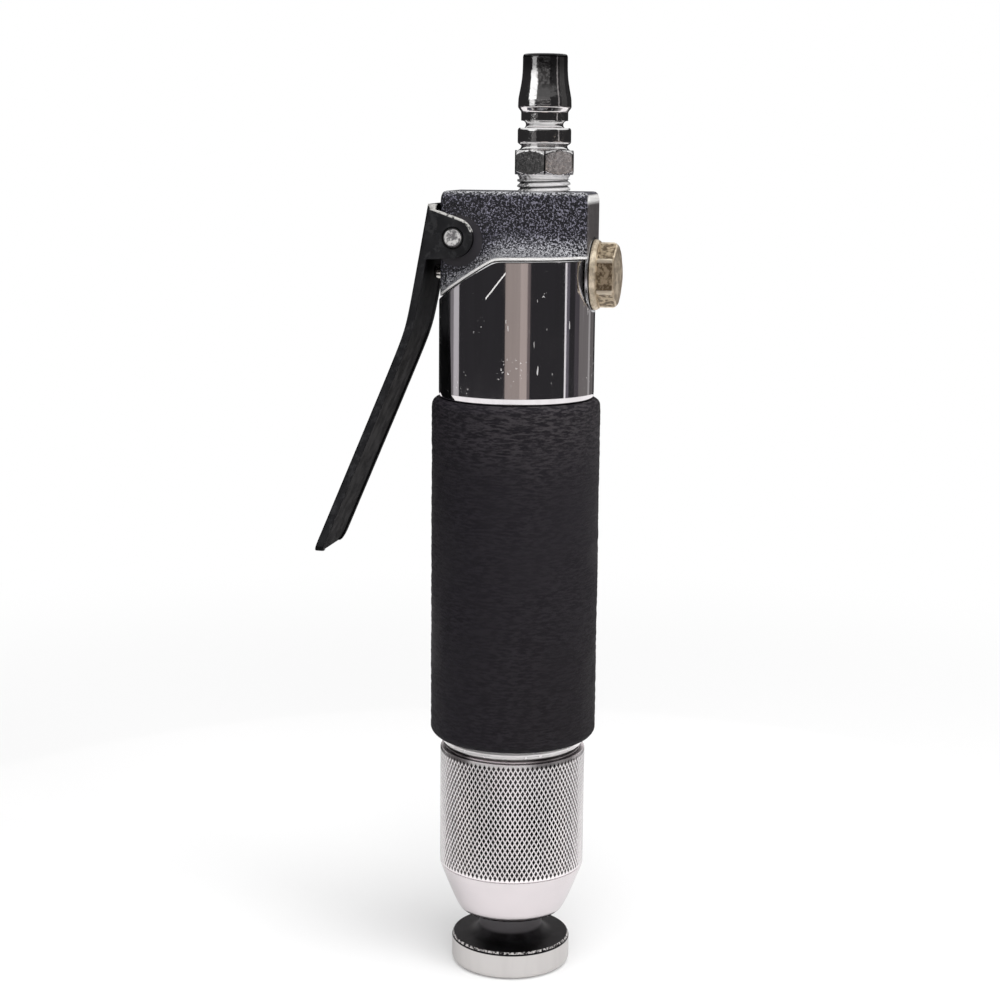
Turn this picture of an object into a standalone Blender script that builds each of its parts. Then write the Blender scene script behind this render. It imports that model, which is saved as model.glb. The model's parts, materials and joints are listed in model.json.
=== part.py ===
"""Pneumatic rivet gun: straight body, lever throttle, foam grip, knurled retaining cap and flush set.

Metres, +Z up. The origin is the centre of the rivet set's flat face, and the body's axis is +Z.
+X points to the valve cap, -X to the throttle lever.
"""

from math import acos, cos, pi, radians, sin, sqrt, tan

import bmesh
import bpy
from mathutils import Matrix, Vector

# --- Fits ---------------------------------------------------------------------------------------
SEAT_GAP = 0.0003            # between faces that rest on each other
RUN_GAP = 0.00025            # radial gap of a piece that slides or turns in a bore
RING_GAP = 0.0002            # around a seal in its groove
EDGE_BREAK = 0.0005          # chamfer on turned edges

# --- Rivet set ----------------------------------------------------------------------------------
SET_FACE_RADIUS = 0.0155
SET_FACE_HEIGHT = 0.0076
SET_LOW_EDGE = 0.0016        # rounding of the working face's edge
SET_RIM_CHAMFER = 0.0004
SET_RIM_BEVEL_HEIGHT = 0.0009
SET_NECK_RADIUS = 0.00825
SET_NECK_FILLET = 0.0032
SET_EXPOSED_LENGTH = 0.0073  # from the top of the round face up to the cap's mouth
SET_GROOVE_DEPTH = 0.0021
SET_SHOULDER_HEIGHT = 0.0027
SET_SHANK_RADIUS = 0.0051
SET_SHANK_LENGTH = 0.0337
SET_DROP = 0.0038            # how far the set moves down when it is lifted off the work

# --- Cap and what it holds ----------------------------------------------------------------------
CAP_RADIUS = 0.0188
CAP_MOUTH_GAP = 0.0013
CAP_MOUTH_WALL = 0.0038
CAP_CONE_HEIGHT = 0.0128
CAP_CONE_BULGE = 0.0017      # inset of the cone a third of its height below the band
CAP_BAND_HEIGHT = 0.0310
CAP_TOP_CHAMFER = 0.0010
CAP_FLOOR_HEIGHT = 0.0069
CAP_CHAMBER_WALL = 0.0056
CAP_THREAD_RELIEF = 0.0009   # below the nose, where the cap's wider bore starts
CAP_TOP_GAP = 0.0005         # dark gap under the cylinder's front flange
BUFFER_HEIGHT = 0.0055
COLLAR_HEIGHT = 0.0044
COLLAR_SPLIT = 0.0005
BAND_WIRE_RADIUS = 0.0006
CAP_RING_WIRE_RADIUS = 0.00055

# --- Cylinder, piston and air distribution ------------------------------------------------------
NOSE_RADIUS = 0.0148
NOSE_WALL = 0.0080
FRONT_FLANGE_INSET = 0.0014  # from the barrel's outer face
FRONT_FLANGE_HEIGHT = 0.0018
FRONT_FLANGE_CHAMFER = 0.0005
CYLINDER_LENGTH = 0.0850     # inside the barrel
BORE_RADIUS = 0.0090
EXHAUST_PORT_RADIUS = 0.0016
EXHAUST_PORT_HEIGHT = 0.0520 # above the front flange
BUSH_FLANGE_HEIGHT = 0.0025
BUSH_STANDOFF = 0.0019       # from the bush up to the piston at rest
PISTON_LENGTH = 0.0320
PISTON_TIP_LENGTH = 0.0040
PISTON_TIP_RADIUS = 0.0058
VALVE_BOX_LENGTH = 0.0136
VALVE_BOX_FLOOR = 0.0035
VALVE_BOX_WALL = 0.0047
AIR_PORT_RADIUS = 0.0055
DISTRIBUTION_STROKE = 0.0018
REAR_PLATE_THICKNESS = 0.0055
REAR_PORT_RADIUS = 0.0030
DOWEL_RADIUS = 0.0011
DOWEL_DEPTH = 0.0045

# --- Barrel and grip ----------------------------------------------------------------------------
BARREL_RADIUS = 0.0196
BARREL_WALL = 0.0031
BARREL_CHAMFER = 0.0012
GRIP_SEAT_DEPTH = 0.00125
GRIP_WALL = 0.0028
GRIP_LENGTH = 0.0877
GRIP_EDGE = 0.0020
GRIP_OFFSET = 0.0003         # above the barrel's lower end
SPIGOT_LENGTH = 0.0188
BODY_RING_WIRE_RADIUS = 0.0008
HEAD_RING_HEIGHT = 0.0033    # above the spigot's lower end
CYLINDER_RING_DROP = 0.0090  # below the cylinder's top

# --- Head casting -------------------------------------------------------------------------------
HEAD_LEFT_INSET = 0.0016     # from the barrel's left side to the casting's left end
HEAD_RIGHT_INSET = 0.0004    # from the barrel's right side to the casting's right end
HEAD_HALF_THICKNESS = 0.0090
HEAD_HEIGHT = 0.0160         # above the ledge
HEAD_CORNER = 0.0016
FLARE_HEIGHT = 0.0062        # concave flare from the flat sides out to the round rim
FLARE_LAND = 0.0007
LEDGE_BREAK_X = -0.0020      # the ledge slopes down from here to the lever's side
LEDGE_SLOPE = 0.62
LEDGE_BLEND = 0.0012
VALVE_DROP = 0.0043          # valve axis below the ledge

# --- Throttle valve, on an axis along X ---------------------------------------------------------
SEAT_SHOULDER_X = -0.0005
VALVE_BORE_RADIUS = 0.0064
VALVE_CHAMBER_RADIUS = 0.0045
VALVE_CHAMBER_LENGTH = 0.0075
STEM_BORE_RADIUS = 0.0037
STEM_LIP_THICKNESS = 0.0012
PIN_RADIUS = 0.0018
STEM_BUSH_FLANGE_RADIUS = 0.0042
STEM_BUSH_FLANGE_HEIGHT = 0.0006
STEM_RING_WIRE_RADIUS = 0.00062
SEAT_HEIGHT = 0.0020
SEAT_HOLE_RADIUS = 0.0031
POPPET_RADIUS = 0.0047
POPPET_HEIGHT = 0.0020
POPPET_STEM_RADIUS = 0.0016
POPPET_GUIDE_LENGTH = 0.0042
DISC_THICKNESS = 0.0012
SPRING_RADIUS = 0.0031
SPRING_WIRE_RADIUS = 0.0004
SPRING_TURNS = 5
AIR_DUCT_RADIUS = 0.0028

# --- Valve cap ----------------------------------------------------------------------------------
SPOTFACE_DEPTH = 0.0014      # below the barrel's right side
SPOTFACE_RADIUS = 0.0093
WASHER_RADIUS = 0.0089
WASHER_THICKNESS = 0.0007
CAP_PLUG_FLANGE_RADIUS = 0.0087
CAP_PLUG_FLANGE_HEIGHT = 0.0022
CAP_PLUG_HEX_FLATS = 0.0140
CAP_PLUG_HEX_HEIGHT = 0.0042
CAP_PLUG_DOME = 0.0005
CAP_PLUG_HEX_TURN = -8.0     # degrees about the valve axis
CAP_PLUG_SHANK_LENGTH = 0.0110
CAP_PLUG_POCKET_RADIUS = 0.0044
CAP_PLUG_POCKET_DEPTH = 0.0070

# --- Throttle lever -----------------------------------------------------------------------------
PIVOT_INSET = 0.0038         # from the casting's left end
PIVOT_RISE = 0.0046          # above the ledge
LEVER_THICKNESS = 0.0018
LEVER_EAR_RADIUS = 0.0050
LEVER_TOP_RISE = 0.0082      # these four are heights about the pivot
LEVER_EAR_DROP = 0.0052
LEVER_BEND_DROP = 0.0230
LEVER_TIP_DROP = 0.0808
LEVER_STANDOFF = 0.0079      # from the pivot out to the lever's outer face
LEVER_UPPER_LEAN = 10.2       # degrees from upright
LEVER_LOWER_LEAN = 23.1
LEVER_BEND_LENGTH = 0.0080
LEVER_LIP = 0.0004           # how far the side edges stand past the sheet
LEVER_TIP_CORNER = 0.0016
LEVER_SEAT_DEPTH = 0.0003    # machined seats of the ears on the head
LEVER_SEAT_RADIUS = 0.0082
LEVER_PIN_RADIUS = 0.0025
LEVER_PIN_BORE = 0.0013
LEVER_PIN_PROUD = 0.0005

# --- Air plug -----------------------------------------------------------------------------------
PLUG_X = 0.0064
PLUG_THREAD_RADIUS = 0.00658
PLUG_THREAD_ENGAGED = 0.0085
PLUG_THREAD_EXPOSED = 0.0041
PLUG_HEX_FLATS = 0.0144
PLUG_HEX_HEIGHT = 0.0059
PLUG_HEX_TURN = -78.0        # degrees about the plug's axis, to a corner
PLUG_BORE_RADIUS = 0.0036
PLUG_NECK_RADIUS = 0.0056
PLUG_NECK_HEIGHT = 0.0014
PLUG_COLLAR_RADIUS = 0.0066
PLUG_COLLAR_HEIGHT = 0.0040
PLUG_WAIST_RADIUS = 0.00475
PLUG_WAIST_HEIGHT = 0.0016
PLUG_RING_RADIUS = 0.0058
PLUG_RING_HEIGHT = 0.0023
PLUG_SHOULDER_CHAMFER = 0.0011
PLUG_TAPER_HEIGHT = 0.0077
PLUG_END_RADIUS = 0.0055
PLUG_END_HEIGHT = 0.0051
STRAINER_RADIUS = 0.0042
STRAINER_WALL = 0.0006
STRAINER_DEPTH = 0.0040
STRAINER_FLANGE = 0.0005

# --- Facets -------------------------------------------------------------------------------------
ROUND_SIDES = 42             # of the body's round pieces, a multiple of 6 for the hexagons
INNER_SIDES = 30
SMALL_SIDES = 18
TINY_SIDES = 10

# --- Heights worked out from the sizes above ----------------------------------------------------
mouth_z = SET_FACE_HEIGHT + SET_EXPOSED_LENGTH
cap_floor_z = mouth_z + CAP_FLOOR_HEIGHT
cap_band_z = mouth_z + CAP_CONE_HEIGHT
cap_top_z = cap_band_z + CAP_BAND_HEIGHT + CAP_TOP_CHAMFER
buffer_z = cap_floor_z + SEAT_GAP
collar_z = buffer_z + BUFFER_HEIGHT + SET_DROP + 2 * SEAT_GAP
groove_z = collar_z - SEAT_GAP
groove_top_z = collar_z + COLLAR_HEIGHT + SEAT_GAP
shoulder_z = groove_top_z + SET_SHOULDER_HEIGHT
nose_z = shoulder_z + SEAT_GAP
shank_top_z = shoulder_z + SET_SHANK_LENGTH
flange_z = cap_top_z + CAP_TOP_GAP
flange_top_z = flange_z + FRONT_FLANGE_HEIGHT
barrel_z = flange_top_z + SEAT_GAP
grip_z = barrel_z + GRIP_OFFSET
barrel_step_z = grip_z + GRIP_LENGTH + SEAT_GAP
cylinder_top_z = flange_top_z + CYLINDER_LENGTH
valve_box_z = cylinder_top_z + SEAT_GAP
rear_plate_z = valve_box_z + VALVE_BOX_LENGTH + SEAT_GAP
spigot_z = rear_plate_z + REAR_PLATE_THICKNESS + SEAT_GAP
ledge_z = spigot_z + SPIGOT_LENGTH
head_top_z = ledge_z + HEAD_HEIGHT
valve_z = ledge_z - VALVE_DROP
pivot_z = ledge_z + PIVOT_RISE
piston_z = shank_top_z + SEAT_GAP
bush_top_z = piston_z - BUSH_STANDOFF

# --- Radii and places worked out from the sizes above -------------------------------------------
barrel_bore_radius = BARREL_RADIUS - BARREL_WALL
front_flange_radius = BARREL_RADIUS - FRONT_FLANGE_INSET
head_left = HEAD_LEFT_INSET - BARREL_RADIUS
head_right = BARREL_RADIUS - HEAD_RIGHT_INSET
spotface_x = BARREL_RADIUS - SPOTFACE_DEPTH
pivot_x = head_left + PIVOT_INSET
inner_radius = barrel_bore_radius - SEAT_GAP
grip_seat_radius = BARREL_RADIUS - GRIP_SEAT_DEPTH
grip_bore_radius = grip_seat_radius + SEAT_GAP
grip_radius = grip_bore_radius + GRIP_WALL
mouth_radius = SET_NECK_RADIUS + CAP_MOUTH_GAP
chamber_radius = CAP_RADIUS - CAP_CHAMBER_WALL
collar_radius = chamber_radius - SEAT_GAP - 2 * BAND_WIRE_RADIUS
groove_radius = SET_NECK_RADIUS - SET_GROOVE_DEPTH
nose_bore_radius = NOSE_RADIUS - NOSE_WALL
dowel_circle_radius = inner_radius - VALVE_BOX_WALL / 2
ear_inner_y = HEAD_HALF_THICKNESS - LEVER_SEAT_DEPTH + SEAT_GAP
ear_outer_y = ear_inner_y + LEVER_THICKNESS
washer_x = spotface_x + SEAT_GAP
cap_plug_x = washer_x + WASHER_THICKNESS + SEAT_GAP
valve_seat_x = SEAT_SHOULDER_X + SEAT_GAP
disc_x = valve_seat_x + SEAT_HEIGHT + SEAT_GAP
poppet_x = disc_x + DISC_THICKNESS + SEAT_GAP
poppet_back_x = poppet_x + POPPET_HEIGHT
spring_end_x = cap_plug_x - CAP_PLUG_SHANK_LENGTH + CAP_PLUG_POCKET_DEPTH
inlet_floor_z = head_top_z - PLUG_THREAD_ENGAGED - STRAINER_FLANGE - 2 * SEAT_GAP

# --- Finishes: colour, roughness, metallic ------------------------------------------------------
FINISHES = {
    "crinkle_black": ((0.022, 0.022, 0.023), 0.55, 0.0),
    "foam_black": ((0.012, 0.012, 0.012), 0.85, 0.0),
    "chrome": ((0.62, 0.62, 0.63), 0.07, 1.0),
    "satin_steel": ((0.55, 0.54, 0.53), 0.32, 1.0),
    "worn_black_steel": ((0.05, 0.048, 0.045), 0.38, 0.85),
    "zinc_yellow": ((0.72, 0.50, 0.20), 0.38, 1.0),
    "nickel": ((0.60, 0.58, 0.54), 0.18, 1.0),
    "brass": ((0.70, 0.52, 0.24), 0.30, 1.0),
    "seal_black": ((0.010, 0.010, 0.010), 0.60, 0.0),
    "urethane_amber": ((0.45, 0.24, 0.05), 0.45, 0.0),
    "spring_steel": ((0.42, 0.42, 0.43), 0.25, 1.0),
}


def finish(name):
    material = bpy.data.materials.get(name)
    if material is None:
        colour, roughness, metallic = FINISHES[name]
        material = bpy.data.materials.new(name)
        material.use_nodes = True
        shader = material.node_tree.nodes["Principled BSDF"]
        shader.inputs["Base Color"].default_value = (*colour, 1.0)
        shader.inputs["Roughness"].default_value = roughness
        shader.inputs["Metallic"].default_value = metallic
        material.diffuse_color = (*colour, 1.0)
    return material


def add_object(name, mesh_data, finish_name, place=(0, 0, 0)):
    """Make a mesh object from a bmesh, with closed faces pointing out."""
    bmesh.ops.recalc_face_normals(mesh_data, faces=mesh_data.faces)
    mesh = bpy.data.meshes.new(name)
    mesh_data.to_mesh(mesh)
    mesh_data.free()
    mesh.shade_smooth()
    mesh.set_sharp_from_angle(angle=radians(35))
    mesh.materials.append(finish(finish_name))
    piece = bpy.data.objects.new(name, mesh)
    piece.location = place
    bpy.context.scene.collection.objects.link(piece)
    return piece


AXES = {
    "x": Matrix.Rotation(radians(90), 4, "Y"),
    "y": Matrix.Rotation(radians(-90), 4, "X"),
    "z": Matrix.Identity(4),
}


def turned(name, outline, finish_name, place=(0, 0, 0), axis="z", sides=ROUND_SIDES, flats=None):
    """Turn an outline of (radius, height) points about an axis.

    An outline that starts and ends on the axis makes a solid piece, any other a ring.
    flats holds (lowest, highest, across flats, degrees to a corner): between those heights the
    radius is held inside a hexagon.
    """
    mesh_data = bmesh.new()
    rows = []
    for radius, height in outline:
        if radius == 0:
            rows.append([mesh_data.verts.new((0, 0, height))])
            continue
        row = []
        for side in range(sides):
            angle = 2 * pi * side / sides
            reach = radius
            turn = 0.0
            if flats:
                low, high, across, corner = flats
                turn = radians(corner)
                if low <= height <= high:
                    from_flat = (angle % (pi / 3)) - pi / 6
                    reach = min(radius, across / 2 / cos(from_flat))
            row.append(mesh_data.verts.new((reach * cos(angle + turn), reach * sin(angle + turn), height)))
        rows.append(row)
    closed = outline[0][0] > 0
    pairs = list(zip(rows, rows[1:] + rows[:1])) if closed else list(zip(rows, rows[1:]))
    for row, following in pairs:
        for side in range(sides):
            beside = (side + 1) % sides
            if len(row) == 1:
                mesh_data.faces.new((row[0], following[side], following[beside]))
            elif len(following) == 1:
                mesh_data.faces.new((row[side], following[0], row[beside]))
            else:
                mesh_data.faces.new((row[side], following[side], following[beside], row[beside]))
    bmesh.ops.transform(mesh_data, matrix=AXES[axis], verts=mesh_data.verts)
    return add_object(name, mesh_data, finish_name, place)


def lofted(name, sections, finish_name, place=(0, 0, 0), loop=False):
    """Join sections with the same number of points, into a loop or closed at both ends."""
    mesh_data = bmesh.new()
    rows = [[mesh_data.verts.new(point) for point in section] for section in sections]
    count = len(rows[0])
    pairs = zip(rows, rows[1:] + rows[:1]) if loop else zip(rows, rows[1:])
    for row, following in pairs:
        for index in range(count):
            beside = (index + 1) % count
            mesh_data.faces.new((row[index], row[beside], following[beside], following[index]))
    if not loop:
        mesh_data.faces.new(rows[0])
        mesh_data.faces.new(rows[-1])
    return add_object(name, mesh_data, finish_name, place)


def torus(name, ring_radius, wire_radius, finish_name, place=(0, 0, 0), axis="z"):
    """A seal: a ring of round section, about its centre."""
    outline = []
    wire_sides = 6
    for side in range(wire_sides):
        angle = 2 * pi * (side + 0.5) / wire_sides
        outline.append((ring_radius + wire_radius * cos(angle), wire_radius * sin(angle)))
    return turned(name, outline, finish_name, place, axis, sides=SMALL_SIDES + 6)


def combine(target, other, operation="DIFFERENCE"):
    """Cut other from target or join it on, and leave it out of the model."""
    modifier = target.modifiers.new(other.name, "BOOLEAN")
    modifier.operation = operation
    modifier.solver = "EXACT"
    modifier.object = other
    other.hide_render = True
    other.display_type = "WIRE"


def drill(target, name, outline, place, axis="z", sides=SMALL_SIDES):
    cutter = turned(name, outline, "seal_black", place, axis, sides)
    combine(target, cutter)
    return cutter


def cylinder_outline(radius, low, high):
    return [(0, low), (radius, low), (radius, high), (0, high)]


def ring_outline(inner, outer, low, high):
    return [(inner, low), (outer, low), (outer, high), (inner, high)]


def ledge_height(x):
    """Height of the joint between head and barrel, level at the right and sloping down to the left."""
    past = LEDGE_BREAK_X - x
    return ledge_z - LEDGE_SLOPE * (past + sqrt(past * past + LEDGE_BLEND ** 2)) / 2


def corner_inset(distance, radius):
    """How far a rounded edge lies inside its corner, at a distance from the end."""
    if distance >= radius:
        return 0.0
    return radius - sqrt(radius ** 2 - (radius - distance) ** 2)


# --- Rivet set and cap --------------------------------------------------------------------------

def make_rivet_set():
    fillet = []
    fillet_steps = 5
    for step in range(fillet_steps + 1):
        angle = pi / 2 * step / fillet_steps
        fillet.append((
            SET_NECK_RADIUS + SET_NECK_FILLET * (1 - sin(angle)),
            SET_FACE_HEIGHT + SET_NECK_FILLET * (1 - cos(angle)),
        ))
    low_edge = []
    low_steps = 3
    for step in range(low_steps + 1):
        angle = pi / 2 * step / low_steps
        low_edge.append((SET_FACE_RADIUS - SET_LOW_EDGE * (1 - sin(angle)), SET_LOW_EDGE * (1 - cos(angle))))
    outline = [
        (0, 0),
        *low_edge,
        (SET_FACE_RADIUS, SET_FACE_HEIGHT - SET_RIM_BEVEL_HEIGHT),
        (SET_FACE_RADIUS - SET_RIM_CHAMFER, SET_FACE_HEIGHT),
        *fillet,
        (SET_NECK_RADIUS, groove_z),
        (groove_radius, groove_z),
        (groove_radius, groove_top_z),
        (SET_NECK_RADIUS, groove_top_z),
        (SET_NECK_RADIUS, shoulder_z),
        (SET_SHANK_RADIUS, shoulder_z),
        (SET_SHANK_RADIUS, shank_top_z - EDGE_BREAK),
        (SET_SHANK_RADIUS - EDGE_BREAK, shank_top_z),
        (0, shank_top_z),
    ]
    turned("rivet_set", outline, "satin_steel")


def make_collars():
    """Two half rings in the set's groove, and the rubber band around them."""
    inner = groove_radius + SEAT_GAP
    steps = 16
    for name, side in (("retaining_collar_left", -1), ("retaining_collar_right", 1)):
        sections = []
        for step in range(steps + 1):
            share = step / steps
            sections.append([
                half_ring_point(radius, height, side, share)
                for radius, height in ring_outline(inner, collar_radius, collar_z, collar_z + COLLAR_HEIGHT)
            ])
        lofted(name, sections, "nickel")
    torus("collar_band", collar_radius + SEAT_GAP / 2 + BAND_WIRE_RADIUS, BAND_WIRE_RADIUS, "seal_black",
          (0, 0, collar_z + COLLAR_HEIGHT / 2))


def half_ring_point(radius, height, side, share):
    """A point on a half ring that stops short of the split between the halves."""
    start = acos(COLLAR_SPLIT / 2 / radius)
    angle = -start + 2 * start * share
    return (side * radius * cos(angle), radius * sin(angle), height)


def make_buffer():
    outline = ring_outline(SET_NECK_RADIUS + SEAT_GAP, chamber_radius - SEAT_GAP, buffer_z, buffer_z + BUFFER_HEIGHT)
    turned("buffer_ring", outline, "urethane_amber", sides=INNER_SIDES)


def make_cap():
    mouth_outer = mouth_radius + CAP_MOUTH_WALL
    thread_radius = NOSE_RADIUS + RUN_GAP
    thread_z = nose_z - CAP_THREAD_RELIEF
    recess_radius = thread_radius + 2 * CAP_RING_WIRE_RADIUS + RING_GAP
    recess_z = cap_top_z - 4 * CAP_RING_WIRE_RADIUS
    outline = [
        (mouth_radius, mouth_z + EDGE_BREAK),
        (mouth_radius + EDGE_BREAK, mouth_z),
        (mouth_outer - EDGE_BREAK, mouth_z),
        (mouth_outer + EDGE_BREAK / 2, mouth_z + EDGE_BREAK),
        (CAP_RADIUS - CAP_CONE_BULGE, cap_band_z - CAP_CONE_HEIGHT / 3),
        (CAP_RADIUS, cap_band_z),
        (CAP_RADIUS, cap_band_z + CAP_BAND_HEIGHT),
        (CAP_RADIUS - CAP_TOP_CHAMFER, cap_top_z),
        (recess_radius, cap_top_z),
        (recess_radius, recess_z),
        (thread_radius, recess_z),
        (thread_radius, thread_z),
        (chamber_radius, thread_z),
        (chamber_radius, cap_floor_z),
        (mouth_radius, cap_floor_z),
    ]
    turned("knurled_cap", outline, "satin_steel")
    torus("cap_o_ring", thread_radius + RING_GAP / 2 + CAP_RING_WIRE_RADIUS, CAP_RING_WIRE_RADIUS,
          "seal_black", (0, 0, recess_z + CAP_RING_WIRE_RADIUS + RING_GAP))


# --- Cylinder, piston and distribution valve ----------------------------------------------------

def ring_groove(radius, wire_radius, middle_z):
    """The four corners of a seal groove in an outer wall, from the bottom up."""
    floor = radius - 1.7 * wire_radius
    half = 1.25 * wire_radius
    return [(radius, middle_z - half), (floor, middle_z - half), (floor, middle_z + half), (radius, middle_z + half)]


def body_ring(name, middle_z):
    """A seal in a groove of a piece that fits inside the barrel."""
    floor = inner_radius - 1.7 * BODY_RING_WIRE_RADIUS
    torus(name, floor + RING_GAP / 2 + BODY_RING_WIRE_RADIUS, BODY_RING_WIRE_RADIUS - RING_GAP / 2,
          "seal_black", (0, 0, middle_z))


def make_cylinder():
    bush_flange_z = bush_top_z - BUSH_FLANGE_HEIGHT - SEAT_GAP
    ring_z = cylinder_top_z - CYLINDER_RING_DROP
    outline = [
        (nose_bore_radius, nose_z),
        (NOSE_RADIUS - EDGE_BREAK, nose_z),
        (NOSE_RADIUS, nose_z + EDGE_BREAK),
        (NOSE_RADIUS, flange_z),
        (front_flange_radius - FRONT_FLANGE_CHAMFER, flange_z),
        (front_flange_radius, flange_z + FRONT_FLANGE_CHAMFER),
        (front_flange_radius, flange_top_z - FRONT_FLANGE_CHAMFER),
        (front_flange_radius - FRONT_FLANGE_CHAMFER, flange_top_z),
        (inner_radius, flange_top_z),
        *ring_groove(inner_radius, BODY_RING_WIRE_RADIUS, ring_z),
        (inner_radius, cylinder_top_z),
        (BORE_RADIUS, cylinder_top_z),
        (BORE_RADIUS, bush_flange_z),
        (nose_bore_radius, bush_flange_z),
    ]
    cylinder = turned("cylinder", outline, "satin_steel")
    port_z = flange_top_z + EXHAUST_PORT_HEIGHT
    port = cylinder_outline(EXHAUST_PORT_RADIUS, -BARREL_RADIUS, BARREL_RADIUS)
    drill(cylinder, "exhaust_port_cut", port, (0, 0, port_z), "y", TINY_SIDES)
    drill(cylinder, "dowel_cut", dowel_outline(DOWEL_RADIUS + RUN_GAP, SEAT_GAP),
          (0, dowel_circle_radius, 0), "z", TINY_SIDES)
    body_ring("cylinder_o_ring", ring_z)


def make_guide_bush():
    inner = SET_SHANK_RADIUS + RUN_GAP
    outer = nose_bore_radius - SEAT_GAP
    flange_radius = BORE_RADIUS - SEAT_GAP
    outline = [
        (inner, nose_z + SEAT_GAP),
        (outer, nose_z + SEAT_GAP),
        (outer, bush_top_z - BUSH_FLANGE_HEIGHT),
        (flange_radius, bush_top_z - BUSH_FLANGE_HEIGHT),
        (flange_radius, bush_top_z),
        (inner, bush_top_z),
    ]
    turned("guide_bush", outline, "brass", sides=INNER_SIDES)


def make_piston():
    radius = BORE_RADIUS - RUN_GAP
    top_z = piston_z + PISTON_LENGTH
    outline = [
        (0, piston_z),
        (PISTON_TIP_RADIUS, piston_z),
        (PISTON_TIP_RADIUS, piston_z + PISTON_TIP_LENGTH),
        (radius, piston_z + PISTON_TIP_LENGTH + EDGE_BREAK),
        (radius, top_z - EDGE_BREAK),
        (radius - EDGE_BREAK, top_z),
        (0, top_z),
    ]
    turned("piston", outline, "spring_steel", sides=INNER_SIDES)


def dowel_outline(radius, extra):
    return cylinder_outline(radius, cylinder_top_z - DOWEL_DEPTH - extra,
                            rear_plate_z + REAR_PLATE_THICKNESS + extra)


def make_distribution():
    """Valve box, its valve ring, the rear plate and the dowel through them."""
    box_top_z = valve_box_z + VALVE_BOX_LENGTH
    floor_z = valve_box_z + VALVE_BOX_FLOOR
    chamber = inner_radius - VALVE_BOX_WALL
    valve_box = turned("valve_box", [
        (AIR_PORT_RADIUS, valve_box_z),
        (inner_radius, valve_box_z),
        (inner_radius, box_top_z),
        (chamber, box_top_z),
        (chamber, floor_z),
        (AIR_PORT_RADIUS, floor_z),
    ], "satin_steel", sides=INNER_SIDES)
    rear_plate = turned("valve_box_cap", ring_outline(
        REAR_PORT_RADIUS, inner_radius, rear_plate_z, rear_plate_z + REAR_PLATE_THICKNESS),
        "satin_steel", sides=INNER_SIDES)
    for target, name in ((valve_box, "valve_box_dowel_cut"), (rear_plate, "valve_box_cap_dowel_cut")):
        drill(target, name, dowel_outline(DOWEL_RADIUS + RUN_GAP, SEAT_GAP),
              (0, dowel_circle_radius, 0), "z", TINY_SIDES)
    turned("dowel_pin", dowel_outline(DOWEL_RADIUS, -SEAT_GAP), "spring_steel",
           (0, dowel_circle_radius, 0), sides=TINY_SIDES)
    outer = chamber - RUN_GAP
    top_z = rear_plate_z - SEAT_GAP - DISTRIBUTION_STROKE
    turned("distribution_valve", [
        (REAR_PORT_RADIUS, floor_z + SEAT_GAP),
        (outer, floor_z + SEAT_GAP),
        (outer, top_z),
        (AIR_PORT_RADIUS, top_z),
        (AIR_PORT_RADIUS, (floor_z + top_z) / 2),
        (REAR_PORT_RADIUS, (floor_z + top_z) / 2),
    ], "brass", sides=INNER_SIDES)


# --- Barrel and grip ----------------------------------------------------------------------------

def make_barrel():
    """Tube with a thinner length under the grip, and a top end cut to the head's sloping ledge."""
    sections = []
    for side in range(ROUND_SIDES):
        angle = 2 * pi * side / ROUND_SIDES
        way = Vector((cos(angle), sin(angle), 0))
        outer_top = ledge_height(BARREL_RADIUS * way.x) - SEAT_GAP
        inner_top = ledge_height(barrel_bore_radius * way.x) - SEAT_GAP
        outline = [
            (barrel_bore_radius, barrel_z),
            (grip_seat_radius - EDGE_BREAK, barrel_z),
            (grip_seat_radius, barrel_z + EDGE_BREAK),
            (grip_seat_radius, barrel_step_z),
            (BARREL_RADIUS - BARREL_CHAMFER / 2, barrel_step_z),
            (BARREL_RADIUS, barrel_step_z + BARREL_CHAMFER),
            (BARREL_RADIUS, outer_top),
            (barrel_bore_radius, inner_top),
        ]
        sections.append([way * radius + Vector((0, 0, height)) for radius, height in outline])
    barrel = lofted("barrel", sections, "chrome", loop=True)
    hole = [
        (0, 0), (VALVE_BORE_RADIUS, 0), (VALVE_BORE_RADIUS, spotface_x), (SPOTFACE_RADIUS, spotface_x),
        (SPOTFACE_RADIUS, 2 * BARREL_RADIUS), (0, 2 * BARREL_RADIUS),
    ]
    drill(barrel, "barrel_valve_cut", hole, (0, 0, valve_z), "x", INNER_SIDES)


def make_grip():
    top_z = grip_z + GRIP_LENGTH
    edge_steps = 3
    outline = [(grip_bore_radius, grip_z)]
    for low in (True, False):
        for step in range(edge_steps + 1):
            angle = pi / 2 * step / edge_steps
            if low:
                outline.append((grip_radius - GRIP_EDGE * (1 - sin(angle)), grip_z + GRIP_EDGE * (1 - cos(angle))))
            else:
                outline.append((grip_radius - GRIP_EDGE * (1 - cos(angle)), top_z - GRIP_EDGE * (1 - sin(angle))))
    outline.append((grip_bore_radius, top_z))
    turned("grip_sleeve", outline, "foam_black")


# --- Head casting -------------------------------------------------------------------------------

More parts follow.
